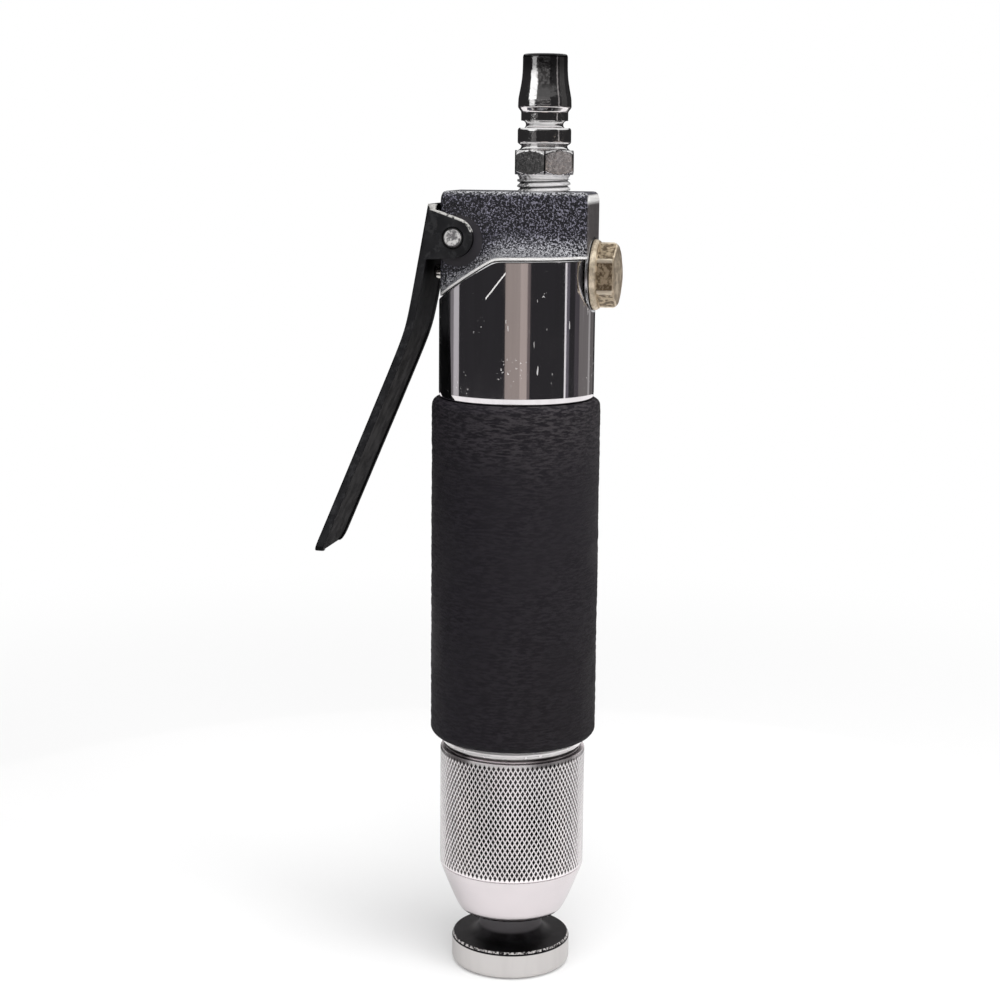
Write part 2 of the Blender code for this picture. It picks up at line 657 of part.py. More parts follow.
def head_section(x):
    """Cross-section of the casting above its ledge, at one place along X."""
    from_end = min(x - head_left, head_right - x)
    inset = corner_inset(from_end, HEAD_CORNER)
    half = HEAD_HALF_THICKNESS - inset
    top = head_top_z - inset
    rim = max(sqrt(max(BARREL_RADIUS ** 2 - x * x, 0)), half)
    low = ledge_height(x)
    flare_steps = 4
    corner_steps = 2
    side = [(rim, low)]
    for step in range(flare_steps + 1):
        angle = pi / 2 * step / flare_steps
        side.append((rim - (rim - half) * sin(angle), low + FLARE_LAND + FLARE_HEIGHT * (1 - cos(angle))))
    for step in range(corner_steps + 1):
        angle = pi / 2 * step / corner_steps
        side.append((half - HEAD_CORNER * (1 - cos(angle)), top - HEAD_CORNER * (1 - sin(angle))))
    return [(x, y, z) for y, z in side] + [(x, -y, z) for y, z in reversed(side)]


def head_places():
    """Places of the cross-sections along X, closer together at both rounded ends."""
    end_shares = (0.0, 0.13, 0.5, 1.0)
    near = [HEAD_CORNER * share for share in end_shares]
    span = head_right - head_left
    middle_steps = 14
    start, stop = near[-1], span - near[-1]
    middle = [start + (stop - start) * step / middle_steps for step in range(1, middle_steps)]
    distances = near + middle + [span - distance for distance in reversed(near)]
    return [head_left + distance for distance in distances]


def make_head():
    head = lofted("head_casting", [head_section(x) for x in head_places()], "crinkle_black")
    ring_z = spigot_z + HEAD_RING_HEIGHT
    spigot = turned("spigot_join", [
        (0, spigot_z),
        (inner_radius, spigot_z),
        *ring_groove(inner_radius, BODY_RING_WIRE_RADIUS, ring_z),
        (inner_radius, ledge_z + FLARE_LAND / 2),
        (0, ledge_z + FLARE_LAND / 2),
    ], "crinkle_black")
    combine(head, spigot, "UNION")
    body_ring("head_o_ring", ring_z)

    # one stepped bore along X: bush, lip, low side chamber, seat and valve chamber, spotface
    lip_x = SEAT_SHOULDER_X - VALVE_CHAMBER_LENGTH
    drill(head, "valve_bore_cut", [
        (0, 2 * head_left),
        (STEM_BORE_RADIUS, 2 * head_left),
        (STEM_BORE_RADIUS, lip_x - STEM_LIP_THICKNESS),
        (PIN_RADIUS + 2 * RUN_GAP, lip_x - STEM_LIP_THICKNESS),
        (PIN_RADIUS + 2 * RUN_GAP, lip_x),
        (VALVE_CHAMBER_RADIUS, lip_x),
        (VALVE_CHAMBER_RADIUS, SEAT_SHOULDER_X),
        (VALVE_BORE_RADIUS, SEAT_SHOULDER_X),
        (VALVE_BORE_RADIUS, spotface_x),
        (SPOTFACE_RADIUS, spotface_x),
        (SPOTFACE_RADIUS, 2 * head_right),
        (0, 2 * head_right),
    ], (0, 0, valve_z), "x", INNER_SIDES)
    drill(head, "inlet_cut", [
        (0, valve_z),
        (STRAINER_RADIUS + SEAT_GAP, valve_z),
        (STRAINER_RADIUS + SEAT_GAP, inlet_floor_z),
        (PLUG_THREAD_RADIUS + SEAT_GAP, inlet_floor_z),
        (PLUG_THREAD_RADIUS + SEAT_GAP, head_top_z + HEAD_CORNER),
        (0, head_top_z + HEAD_CORNER),
    ], (PLUG_X, 0, 0), "z", SMALL_SIDES)
    duct_x = SEAT_SHOULDER_X - VALVE_CHAMBER_LENGTH / 2
    duct = drill(head, "air_duct_cut", cylinder_outline(AIR_DUCT_RADIUS, spigot_z - SEAT_GAP, valve_z),
                 (duct_x, 0, 0), "z", TINY_SIDES)
    duct.rotation_euler.z = pi / TINY_SIDES      # keeps the duct's corners off the casting's mid-plane
    seat_y = HEAD_HALF_THICKNESS - LEVER_SEAT_DEPTH
    for name, low, high in (("near_seat_cut", -2 * seat_y, -seat_y), ("far_seat_cut", seat_y, 2 * seat_y)):
        seat = cylinder_outline(LEVER_SEAT_RADIUS, low, high)
        drill(head, name, seat, (pivot_x, 0, pivot_z), "y", INNER_SIDES)
    pin_hole = cylinder_outline(LEVER_PIN_RADIUS + RUN_GAP, -ear_outer_y, ear_outer_y)
    drill(head, "pin_hole_cut", pin_hole, (pivot_x, 0, pivot_z), "y", SMALL_SIDES)


# --- Throttle lever -----------------------------------------------------------------------------

def lever_face(height):
    """X of the lever's outer face from the pivot, at a height above the pivot."""
    upper = tan(radians(LEVER_UPPER_LEAN))
    lower = tan(radians(LEVER_LOWER_LEAN))
    past = -LEVER_BEND_DROP - height
    blend = LEVER_BEND_LENGTH / 2
    bent = (past + sqrt(past * past + blend * blend)) / 2
    return -LEVER_STANDOFF + upper * height - (lower - upper) * bent


def lever_edge(height):
    """X of the side walls' inner edge from the pivot, at a height above the pivot."""
    lip = lever_face(height) + lever_sheet(height) + LEVER_LIP
    if height < -LEVER_EAR_DROP:
        return lip
    touch = radians(71)
    if height <= LEVER_EAR_RADIUS * sin(touch):
        ear = sqrt(max(LEVER_EAR_RADIUS ** 2 - height ** 2, 0))
    else:
        ear = LEVER_EAR_RADIUS * cos(touch) - (height - LEVER_EAR_RADIUS * sin(touch)) * tan(touch)
    return max(ear, lip)


def lever_sheet(height):
    """Thickness of the leaning sheet, measured along X."""
    step = 0.0005
    slope = (lever_face(height + step) - lever_face(height - step)) / (2 * step)
    return LEVER_THICKNESS * sqrt(1 + slope * slope)


def lever_heights():
    """Heights of the cross-sections: few on the straight lengths, more at the tip, bend and ears."""
    tip = [-LEVER_TIP_DROP + LEVER_TIP_CORNER * share for share in (0.0, 0.1, 0.3, 0.6, 1.0)]
    bend_start = -LEVER_BEND_DROP - 2 * LEVER_BEND_LENGTH
    bend_end = -LEVER_BEND_DROP + LEVER_BEND_LENGTH
    bend = [bend_start + (bend_end - bend_start) * step / 10 for step in range(11)]
    edge = 0.0002
    ear = [-LEVER_EAR_DROP - edge, -LEVER_EAR_DROP + edge]
    arc_steps = 10
    for step in range(arc_steps + 1):
        angle = radians(-80) + radians(151) * step / arc_steps
        ear.append(LEVER_EAR_RADIUS * sin(angle))
    top = [LEVER_EAR_RADIUS + (LEVER_TOP_RISE - LEVER_EAR_RADIUS) * share for share in (0.35, 0.7, 1.0)]
    return tip + bend + ear + top


def make_lever():
    sections = []
    for height in lever_heights():
        outside = lever_face(height)
        inside = outside + lever_sheet(height)
        edge = lever_edge(height)
        half = ear_outer_y - corner_inset(height + LEVER_TIP_DROP, LEVER_TIP_CORNER)
        wall = half - LEVER_THICKNESS
        points = [
            (outside, -half), (outside, half), (edge, half), (edge, wall),
            (inside, wall), (inside, -wall), (edge, -wall), (edge, -half),
        ]
        sections.append([(x, y, height) for x, y in points])
    lever = lofted("throttle_lever", sections, "worn_black_steel", (pivot_x, 0, pivot_z))
    hole = cylinder_outline(LEVER_PIN_RADIUS + RUN_GAP, -2 * ear_outer_y, 2 * ear_outer_y)
    drill(lever, "lever_hole_cut", hole, (pivot_x, 0, pivot_z), "y", SMALL_SIDES)


def make_lever_pin():
    half = ear_outer_y + LEVER_PIN_PROUD
    edge = LEVER_PIN_PROUD / 2
    turned("lever_pin", [
        (LEVER_PIN_BORE, -half),
        (LEVER_PIN_RADIUS - edge, -half),
        (LEVER_PIN_RADIUS, -half + edge),
        (LEVER_PIN_RADIUS, half - edge),
        (LEVER_PIN_RADIUS - edge, half),
        (LEVER_PIN_BORE, half),
    ], "nickel", (pivot_x, 0, pivot_z), "y", SMALL_SIDES)


# --- Throttle valve -----------------------------------------------------------------------------

def make_stem():
    """Push pin, its guide bush and its seal."""
    lip_left = SEAT_SHOULDER_X - VALVE_CHAMBER_LENGTH - STEM_LIP_THICKNESS
    drop = valve_z - pivot_z
    pin_left = pivot_x + lever_face(drop) + lever_sheet(drop) + SEAT_GAP
    # the flat pin end stands clear of the leaning sheet over its whole width
    pin_left += PIN_RADIUS * tan(radians(LEVER_UPPER_LEAN))
    pin_right = valve_seat_x + SEAT_HEIGHT / 2 - SEAT_GAP
    turned("push_pin", [
        (0, pin_left),
        (PIN_RADIUS - EDGE_BREAK, pin_left),
        (PIN_RADIUS, pin_left + EDGE_BREAK),
        (PIN_RADIUS, pin_right),
        (0, pin_right),
    ], "nickel", (0, 0, valve_z), "x", SMALL_SIDES)

    bush_left = head_left - SEAT_GAP - STEM_BUSH_FLANGE_HEIGHT
    bush_right = lip_left - 2 * STEM_RING_WIRE_RADIUS - 2 * SEAT_GAP
    inner = PIN_RADIUS + RUN_GAP
    turned("stem_bush", [
        (inner, bush_left),
        (STEM_BUSH_FLANGE_RADIUS, bush_left),
        (STEM_BUSH_FLANGE_RADIUS, head_left - SEAT_GAP),
        (STEM_BORE_RADIUS - SEAT_GAP, head_left - SEAT_GAP),
        (STEM_BORE_RADIUS - SEAT_GAP, bush_right),
        (inner, bush_right),
    ], "brass", (0, 0, valve_z), "x", SMALL_SIDES)
    ring_x = lip_left - SEAT_GAP - STEM_RING_WIRE_RADIUS
    torus("stem_o_ring", PIN_RADIUS + RUN_GAP + STEM_RING_WIRE_RADIUS, STEM_RING_WIRE_RADIUS,
          "seal_black", (ring_x, 0, valve_z), "x")


def make_throttle_valve():
    seat_outer = VALVE_BORE_RADIUS - SEAT_GAP
    turned("valve_seat", ring_outline(SEAT_HOLE_RADIUS, seat_outer, valve_seat_x, valve_seat_x + SEAT_HEIGHT),
           "brass", (0, 0, valve_z), "x", SMALL_SIDES)
    stem_left = valve_seat_x + SEAT_HEIGHT / 2
    guide_radius = SPRING_RADIUS - SPRING_WIRE_RADIUS - SEAT_GAP
    turned("throttle_valve", [
        (0, stem_left),
        (POPPET_STEM_RADIUS, stem_left),
        (POPPET_STEM_RADIUS, poppet_x),
        (POPPET_RADIUS, poppet_x),
        (POPPET_RADIUS, poppet_back_x),
        (guide_radius, poppet_back_x),
        (guide_radius, poppet_back_x + POPPET_GUIDE_LENGTH),
        (0, poppet_back_x + POPPET_GUIDE_LENGTH),
    ], "brass", (0, 0, valve_z), "x", SMALL_SIDES)
    turned("valve_disc", ring_outline(POPPET_STEM_RADIUS + RUN_GAP, POPPET_RADIUS, disc_x, disc_x + DISC_THICKNESS),
           "seal_black", (0, 0, valve_z), "x", SMALL_SIDES)


def make_spring():
    """Coil between the poppet's back and the valve cap's pocket, with flat dead ends."""
    low = poppet_back_x + SEAT_GAP + SPRING_WIRE_RADIUS
    high = spring_end_x - SEAT_GAP - SPRING_WIRE_RADIUS
    steps_per_turn = 12
    wire_sides = 5
    count = SPRING_TURNS * steps_per_turn
    dead_share = 0.75 / SPRING_TURNS
    wire_pitch = 2.2 * SPRING_WIRE_RADIUS * 0.75
    sections = []
    for step in range(count + 1):
        share = step / count
        angle = 2 * pi * SPRING_TURNS * share
        if share < dead_share:
            along = low + wire_pitch * share / dead_share
        elif share > 1 - dead_share:
            along = high - wire_pitch * (1 - share) / dead_share
        else:
            active = (share - dead_share) / (1 - 2 * dead_share)
            along = low + wire_pitch + (high - low - 2 * wire_pitch) * active
        section = []
        for side in range(wire_sides):
            around = 2 * pi * side / wire_sides
            reach = SPRING_RADIUS + SPRING_WIRE_RADIUS * cos(around)
            section.append((
                along + SPRING_WIRE_RADIUS * sin(around),
                reach * cos(angle),
                reach * sin(angle),
            ))
        sections.append(section)
    lofted("valve_spring", sections, "spring_steel", (0, 0, valve_z))


def make_valve_cap():
    """Hexagon flange plug: shank with the spring's pocket, cone flange, domed hexagon."""
    turned("valve_cap_washer", ring_outline(
        VALVE_BORE_RADIUS, WASHER_RADIUS, washer_x, washer_x + WASHER_THICKNESS),
        "spring_steel", (0, 0, valve_z), "x", INNER_SIDES)
    shank_radius = VALVE_BORE_RADIUS - SEAT_GAP
    shank_x = cap_plug_x - CAP_PLUG_SHANK_LENGTH
    pocket_x = shank_x + CAP_PLUG_POCKET_DEPTH
    hex_x = cap_plug_x + CAP_PLUG_FLANGE_HEIGHT
    end_x = hex_x + CAP_PLUG_HEX_HEIGHT
    across = CAP_PLUG_HEX_FLATS
    corner = across / 2 / cos(pi / 6)
    outline = [
        (CAP_PLUG_POCKET_RADIUS, shank_x),
        (shank_radius, shank_x),
        (shank_radius, cap_plug_x),
        (CAP_PLUG_FLANGE_RADIUS, cap_plug_x),
        (CAP_PLUG_FLANGE_RADIUS, cap_plug_x + EDGE_BREAK),
        (corner, hex_x - EDGE_BREAK / 2),
        (corner, hex_x),
        (corner, end_x - (corner - across / 2) * tan(pi / 6)),
        (across / 2, end_x),
        (across / 2 * 0.6, end_x + CAP_PLUG_DOME * 0.7),
        (0, end_x + CAP_PLUG_DOME),
    ]
    outline = [(0, pocket_x), (CAP_PLUG_POCKET_RADIUS, pocket_x)] + outline
    plug = turned("valve_cap", outline, "zinc_yellow", (0, 0, valve_z), "x", INNER_SIDES,
                  flats=(hex_x, end_x, across, 0.0))
    plug.rotation_euler.x = radians(CAP_PLUG_HEX_TURN)


# --- Air plug -----------------------------------------------------------------------------------

def make_coupler_plug():
    base = head_top_z - PLUG_THREAD_ENGAGED
    hex_z = head_top_z + PLUG_THREAD_EXPOSED
    neck_z = hex_z + PLUG_HEX_HEIGHT
    collar_low = neck_z + PLUG_NECK_HEIGHT
    collar_high = collar_low + PLUG_COLLAR_HEIGHT
    ring_low = collar_high + PLUG_WAIST_HEIGHT
    ring_high = ring_low + PLUG_RING_HEIGHT
    shoulder = ring_high + PLUG_SHOULDER_CHAMFER
    taper_top = shoulder + PLUG_TAPER_HEIGHT
    top = taper_top + PLUG_END_HEIGHT
    corner = PLUG_HEX_FLATS / 2 / cos(pi / 6)
    hex_edge = (corner - PLUG_HEX_FLATS / 2) * tan(pi / 6)
    edge = EDGE_BREAK
    outline = [
        (PLUG_BORE_RADIUS, base),
        (PLUG_THREAD_RADIUS - edge, base),
        (PLUG_THREAD_RADIUS, base + edge),
        (PLUG_THREAD_RADIUS, hex_z - edge),
        (PLUG_THREAD_RADIUS - edge, hex_z - edge),
        (PLUG_THREAD_RADIUS - edge, hex_z),
        (PLUG_HEX_FLATS / 2, hex_z),
        (corner, hex_z + hex_edge),
        (corner, neck_z - hex_edge),
        (PLUG_HEX_FLATS / 2, neck_z),
        (PLUG_NECK_RADIUS, neck_z),
        (PLUG_NECK_RADIUS, collar_low),
        (PLUG_COLLAR_RADIUS - edge, collar_low),
        (PLUG_COLLAR_RADIUS, collar_low + edge),
        (PLUG_COLLAR_RADIUS, collar_high - edge),
        (PLUG_COLLAR_RADIUS - edge, collar_high),
        (PLUG_WAIST_RADIUS, collar_high),
        (PLUG_WAIST_RADIUS, ring_low),
        (PLUG_RING_RADIUS, ring_low),
        (PLUG_RING_RADIUS, ring_high),
        (PLUG_COLLAR_RADIUS, shoulder),
        (PLUG_END_RADIUS, taper_top),
        (PLUG_END_RADIUS, top - edge),
        (PLUG_END_RADIUS - edge, top),
        (PLUG_BORE_RADIUS + edge, top),
        (PLUG_BORE_RADIUS, top - edge),
    ]
    turned("coupler_plug", outline, "chrome", (PLUG_X, 0, 0), sides=INNER_SIDES,
           flats=(hex_z, neck_z, PLUG_HEX_FLATS, PLUG_HEX_TURN))


def make_strainer():
    flange_z = inlet_floor_z + SEAT_GAP
    bottom_z = flange_z - STRAINER_DEPTH
    inner = STRAINER_RADIUS - STRAINER_WALL
    turned("inlet_strainer", [
        (0, bottom_z),
        (STRAINER_RADIUS, bottom_z),
        (STRAINER_RADIUS, flange_z),
        (PLUG_THREAD_RADIUS, flange_z),
        (PLUG_THREAD_RADIUS, flange_z + STRAINER_FLANGE),
        (inner, flange_z + STRAINER_FLANGE),
        (inner, bottom_z + STRAINER_WALL),
        (0, bottom_z + STRAINER_WALL),
    ], "brass", (PLUG_X, 0, 0), sides=SMALL_SIDES)


def main():
    for old in list(bpy.data.objects):
        bpy.data.objects.remove(old, do_unlink=True)
    make_rivet_set()
    make_collars()
    make_buffer()
    make_cap()
    make_cylinder()
    make_guide_bush()
    make_piston()
    make_distribution()
    make_barrel()
    make_grip()
    make_head()
    make_lever()
    make_lever_pin()
    make_stem()
    make_throttle_valve()
    make_spring()
    make_valve_cap()
    make_coupler_plug()
    make_strainer()


main()
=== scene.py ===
import json
from math import ceil, cos, pi, radians, sin, sqrt, tan

import bmesh
import bpy
import numpy as np
from mathutils import Matrix, Vector


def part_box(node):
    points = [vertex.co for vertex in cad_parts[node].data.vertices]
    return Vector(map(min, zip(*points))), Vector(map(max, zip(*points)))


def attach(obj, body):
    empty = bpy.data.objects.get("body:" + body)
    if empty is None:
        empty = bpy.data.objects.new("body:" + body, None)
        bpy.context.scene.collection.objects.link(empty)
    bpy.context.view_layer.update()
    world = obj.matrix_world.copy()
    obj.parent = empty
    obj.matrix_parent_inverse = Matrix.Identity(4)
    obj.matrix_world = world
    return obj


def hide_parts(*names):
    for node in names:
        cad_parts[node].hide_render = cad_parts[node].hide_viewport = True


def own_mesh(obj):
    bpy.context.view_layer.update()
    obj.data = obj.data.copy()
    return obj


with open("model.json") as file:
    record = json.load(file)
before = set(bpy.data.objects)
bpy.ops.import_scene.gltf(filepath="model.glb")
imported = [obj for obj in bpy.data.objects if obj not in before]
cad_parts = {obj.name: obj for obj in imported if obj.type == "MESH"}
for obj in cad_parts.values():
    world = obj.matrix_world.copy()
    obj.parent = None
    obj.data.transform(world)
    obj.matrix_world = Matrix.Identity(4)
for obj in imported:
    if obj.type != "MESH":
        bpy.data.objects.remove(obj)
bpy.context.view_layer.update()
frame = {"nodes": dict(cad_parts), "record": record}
print("frame loaded:", len(frame["nodes"]), "nodes")

mm = 0.001


def pick(settings, names):              # several values of a piece's settings
    return [settings[name] for name in names.split()]


# node trees: arithmetic on sockets, and one method that makes every other node

def operator(operation, swapped=False):
    def apply(self, other):
        pair = (other, self) if swapped else (self, other)
        return self.math(operation, *pair)
    return apply


def function(operation):
    def apply(self):
        return self.math(operation, self)
    return apply


class Wire:
    def __init__(self, tree, socket):
        self.tree, self.socket = tree, socket

    def math(self, operation, *values):
        return self.tree.make("ShaderNodeMath", {"operation": operation}, dict(enumerate(values)))

    __add__ = operator("ADD")
    __radd__ = operator("ADD", swapped=True)
    __sub__ = operator("SUBTRACT")
    __rsub__ = operator("SUBTRACT", swapped=True)
    __mul__ = operator("MULTIPLY")
    __rmul__ = operator("MULTIPLY", swapped=True)
    __truediv__ = operator("DIVIDE")
    __pow__ = operator("POWER")
    __mod__ = operator("MODULO")
    __gt__ = operator("GREATER_THAN")
    __lt__ = operator("LESS_THAN")
    __abs__ = function("ABSOLUTE")
    atMost = operator("MINIMUM")
    atLeast = operator("MAXIMUM")
    floor = function("FLOOR")
    sine = function("SINE")
    cosine = function("COSINE")
    root = function("SQRT")

    def ramp(self, low, high, toLow=0.0, toHigh=1.0):      # smooth step between two values
        smooth = {"interpolation_type": "SMOOTHSTEP"}
        values = {0: self, 1: low, 2: high, 3: toLow, 4: toHigh}
        return self.tree.make("ShaderNodeMapRange", smooth, values)

    def fall(self, low, high):
        return self.ramp(low, high, 1.0, 0.0)

    def band(self, low, high, soft):                       # 1 between two values, soft at both ends
        return self.ramp(low, low + soft) * self.fall(high - soft, high)

    def parts(self):
        node = self.tree.make("ShaderNodeSeparateXYZ", {}, {0: self}).socket.node
        return [Wire(self.tree, out) for out in node.outputs]


class Tree:
    def __init__(self, nodeTree):
        self.nodeTree = nodeTree

    def make(self, kind, settings=None, sockets=None, out=0):
        node = self.nodeTree.nodes.new(kind)
        for name, value in (settings or {}).items():
            setattr(node, name, value)
        for key, value in (sockets or {}).items():
            if isinstance(value, Wire):
                self.nodeTree.links.new(value.socket, node.inputs[key])
            else:
                node.inputs[key].default_value = value
        return Wire(self, node.outputs[out])

    def link(self, value, node, key):
        self.nodeTree.links.new(value.socket, node.inputs[key])


class Finish(Tree):                    # a material on one Principled shader
    def __init__(self, name, colour, **sockets):
        self.material = bpy.data.materials.new(name)
        self.material.use_nodes = True
        super().__init__(self.material.node_tree)
        self.shader = self.nodeTree.nodes["Principled BSDF"]
        self.shader.inputs["Base Color"].default_value = (*colour, 1.0)
        for key, value in sockets.items():
            self.shader.inputs[key.replace("_", " ")].default_value = value
        self.place = self.make("ShaderNodeTexCoord", out=3)      # Object

    def set(self, **wires):
        for key, value in wires.items():
            self.link(value, self.shader, key.replace("_", " "))
        return self

    def surface(self, shader):          # takes the place of the Principled shader at the output
        self.link(shader, self.nodeTree.nodes["Material Output"], "Surface")
        return self

    def noise(self, scale, detail=3.0, roughness=0.5, distortion=0.0, stretch=None, tilt=(0, 0, 0)):
        at = self.place
        if stretch:
            at = self.make("ShaderNodeMapping", {}, {"Vector": at, "Rotation": tilt, "Scale": stretch})
        return self.make("ShaderNodeTexNoise", {}, {
            "Vector": at, "Scale": scale, "Detail": detail, "Roughness": roughness, "Distortion": distortion})

    def cells(self, scale):
        return self.make("ShaderNodeTexVoronoi", {}, {"Vector": self.place, "Scale": scale})

    def mix(self, mask, first, second):
        pair = [value if isinstance(value, Wire) else (*value, 1.0) for value in (first, second)]
        return self.make("ShaderNodeMix", {"data_type": "RGBA"}, {0: mask, 6: pair[0], 7: pair[1]}, out=2)

    def bump(self, height, strength, distance=0.1 * mm):
        return self.make("ShaderNodeBump", {}, {"Height": height, "Strength": strength, "Distance": distance})


# meshes

sideShare = 0.49                        # a rounding takes at most this share of a side


def arc(centre, radii, start, stop, steps):     # on an ellipse, from one angle in degrees to another
    angles = np.linspace(radians(start), radians(stop), steps + 1)
    return [(centre[0] + radii[0] * cos(angle), centre[1] + radii[1] * sin(angle)) for angle in angles]


def roundedCorner(last, here, coming, reach, steps):     # its points, and the ways to both neighbours
    here = Vector(here[:2])
    before, after = Vector(last[:2]) - here, Vector(coming[:2]) - here
    start = here + before.normalized() * min(reach, before.length * sideShare)
    stop = here + after.normalized() * min(reach, after.length * sideShare)
    shares = [step / steps for step in range(steps + 1)]
    bend = [start * (1 - share) ** 2 + here * 2 * share * (1 - share) + stop * share ** 2 for share in shares]
    return bend, before, after


def softOutline(points, steps=4, guard=0.2 * mm):
    # (radius, height) or (radius, height, rounding) points; a long side gets a guard point beside its arc
    line = []
    for index, point in enumerate(points):
        if len(point) < 3 or index in (0, len(points) - 1):
            line.append(point[:2])
            continue
        reach = point[2]
        bend, before, after = roundedCorner(points[index - 1], point, points[index + 1], reach, steps)
        if before.length * sideShare > reach + guard:
            bend.insert(0, bend[0] + before.normalized() * guard)
        if after.length * sideShare > reach + guard:
            bend.append(bend[-1] + after.normalized() * guard)
        line += [tuple(spot) for spot in bend]
    return line


def softLoop(corners, steps, guard):    # closed outline of (x, y, rounding) corners, all with guard points
    line = []
    for index, corner in enumerate(corners):
        coming = corners[(index + 1) % len(corners)]
        bend, before, after = roundedCorner(corners[index - 1], corner, coming, corner[2], steps)
        here = Vector(corner[:2])
        first = min(guard, before.length * 0.5 - (bend[0] - here).length)
        last = min(guard, after.length * 0.5 - (bend[-1] - here).length) * 0.99
        ends = [bend[0] + before.normalized() * first, bend[-1] + after.normalized() * last]
        line += [tuple(spot) for spot in (ends[0], *bend, ends[1])]
    return line


def meshObject(name, points, faces):
    mesh = bpy.data.meshes.new(name)
    mesh.from_pydata([tuple(point) for point in points], [], faces)
    mesh.validate()
    piece = bpy.data.objects.new(name, mesh)
    bpy.context.scene.collection.objects.link(piece)
    return piece


def outward(piece):
    work = bmesh.new()
    work.from_mesh(piece.data)
    bmesh.ops.recalc_face_normals(work, faces=work.faces)
    work.to_mesh(piece.data)
    work.free()
    return piece


turns = {
    "z": Matrix.Identity(4),
    "x": Matrix.Rotation(radians(90), 4, "Y"),
    "y": Matrix.Rotation(radians(-90), 4, "X"),
}


def turned(name, outline, sides, axis="z", place=(0, 0, 0), shape=None):
    # shape(radius, height, angle) may change a point's radius, such as for a hexagon
    matrix = Matrix.Translation(place) @ turns[axis]
    onAxis = 1e-7                       # a smaller radius is one point on the axis
    points, rows, faces = [], [], []
    for radius, height in outline:
        if radius < onAxis:
            rows.append([len(points)])
            points.append(matrix @ Vector((0, 0, height)))
            continue
        row = []
        for side in range(sides):
            angle = 2 * pi * side / sides
            reach = shape(radius, height, angle) if shape else radius
            row.append(len(points))
            points.append(matrix @ Vector((reach * cos(angle), reach * sin(angle), height)))
        rows.append(row)
    pairs = list(zip(rows, rows[1:]))
    if outline[0][0] > onAxis:          # a ring closes on itself
        pairs.append((rows[-1], rows[0]))
    for low, high in pairs:
        for side in range(sides):
            beside = (side + 1) % sides
            if len(low) == 1:
                faces.append((low[0], high[side], high[beside]))
            elif len(high) == 1:
                faces.append((low[side], high[0], low[beside]))
            else:
                faces.append((low[side], high[side], high[beside], low[beside]))
    return outward(meshObject(name, points, faces))


def rod(name, radius, low, high, sides, axis="z", place=(0, 0, 0)):
    return turned(name, [(0, low), (radius, low), (radius, high), (0, high)], sides, axis, place)


def hexagon(flats, corner, low, high):  # between two heights, with a corner at that angle in degrees
    def shape(radius, height, angle):
        fromFlat = ((angle - radians(corner)) % (pi / 3)) - pi / 6
        return min(radius, flats / 2 / cos(fromFlat)) if low < height < high else radius
    return shape


def threaded(outer, top, depth, pitch, rising=0.5, falling=0.5, elsewhere=None):
    # a right-hand thread where the outline has the outer radius, below the top;
    # it rises to its crest and falls from it in those shares of a turn
    def shape(radius, height, angle):
        if abs(radius - outer) < 0.005 * mm and height < top:
            share = (height / pitch - angle / (2 * pi)) % 1.0
            return outer - depth * (1 - min(share / rising, 1.0, (1 - share) / falling))
        return elsewhere(radius, height, angle) if elsewhere else radius
    return shape


def lofted(name, sections, loop=False):
    points = [point for section in sections for point in section]
    size, count = len(sections[0]), len(sections)
    faces = []
    for row in range(count if loop else count - 1):
        low, high = row * size, (row + 1) % count * size
        for index in range(size):
            beside = (index + 1) % size
            faces.append((low + index, low + beside, high + beside, high + index))
    if not loop:
        faces.append(tuple(range(size)))
        faces.append(tuple(range((count - 1) * size, count * size)))
    return outward(meshObject(name, points, faces))


def plain(piece):                       # the piece with its modifiers worked in
    bpy.context.view_layer.update()
    graph = bpy.context.evaluated_depsgraph_get()
    whole = piece.evaluated_get(graph)
    mesh = bpy.data.meshes.new_from_object(whole, preserve_all_data_layers=True, depsgraph=graph)
    piece.modifiers.clear()
    piece.data = mesh
    return piece


def cut(piece, cutters, operation="DIFFERENCE"):
    for cutter in cutters:
        modifier = piece.modifiers.new(cutter.name, "BOOLEAN")
        modifier.operation = operation
        modifier.solver = "EXACT"
        modifier.object = cutter
    plain(piece)
    for cutter in cutters:
        bpy.data.objects.remove(cutter)
    return piece


def finished(piece, body, nodes, finish, sharp=32):
    piece.data.shade_smooth()
    piece.data.set_sharp_from_angle(angle=radians(sharp))
    piece.data.materials.clear()
    piece.data.materials.append(finish.material)
    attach(piece, body)
    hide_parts(*nodes)
    print("made", piece.name, len(piece.data.polygons), "faces")
    return piece


# geometry node trees

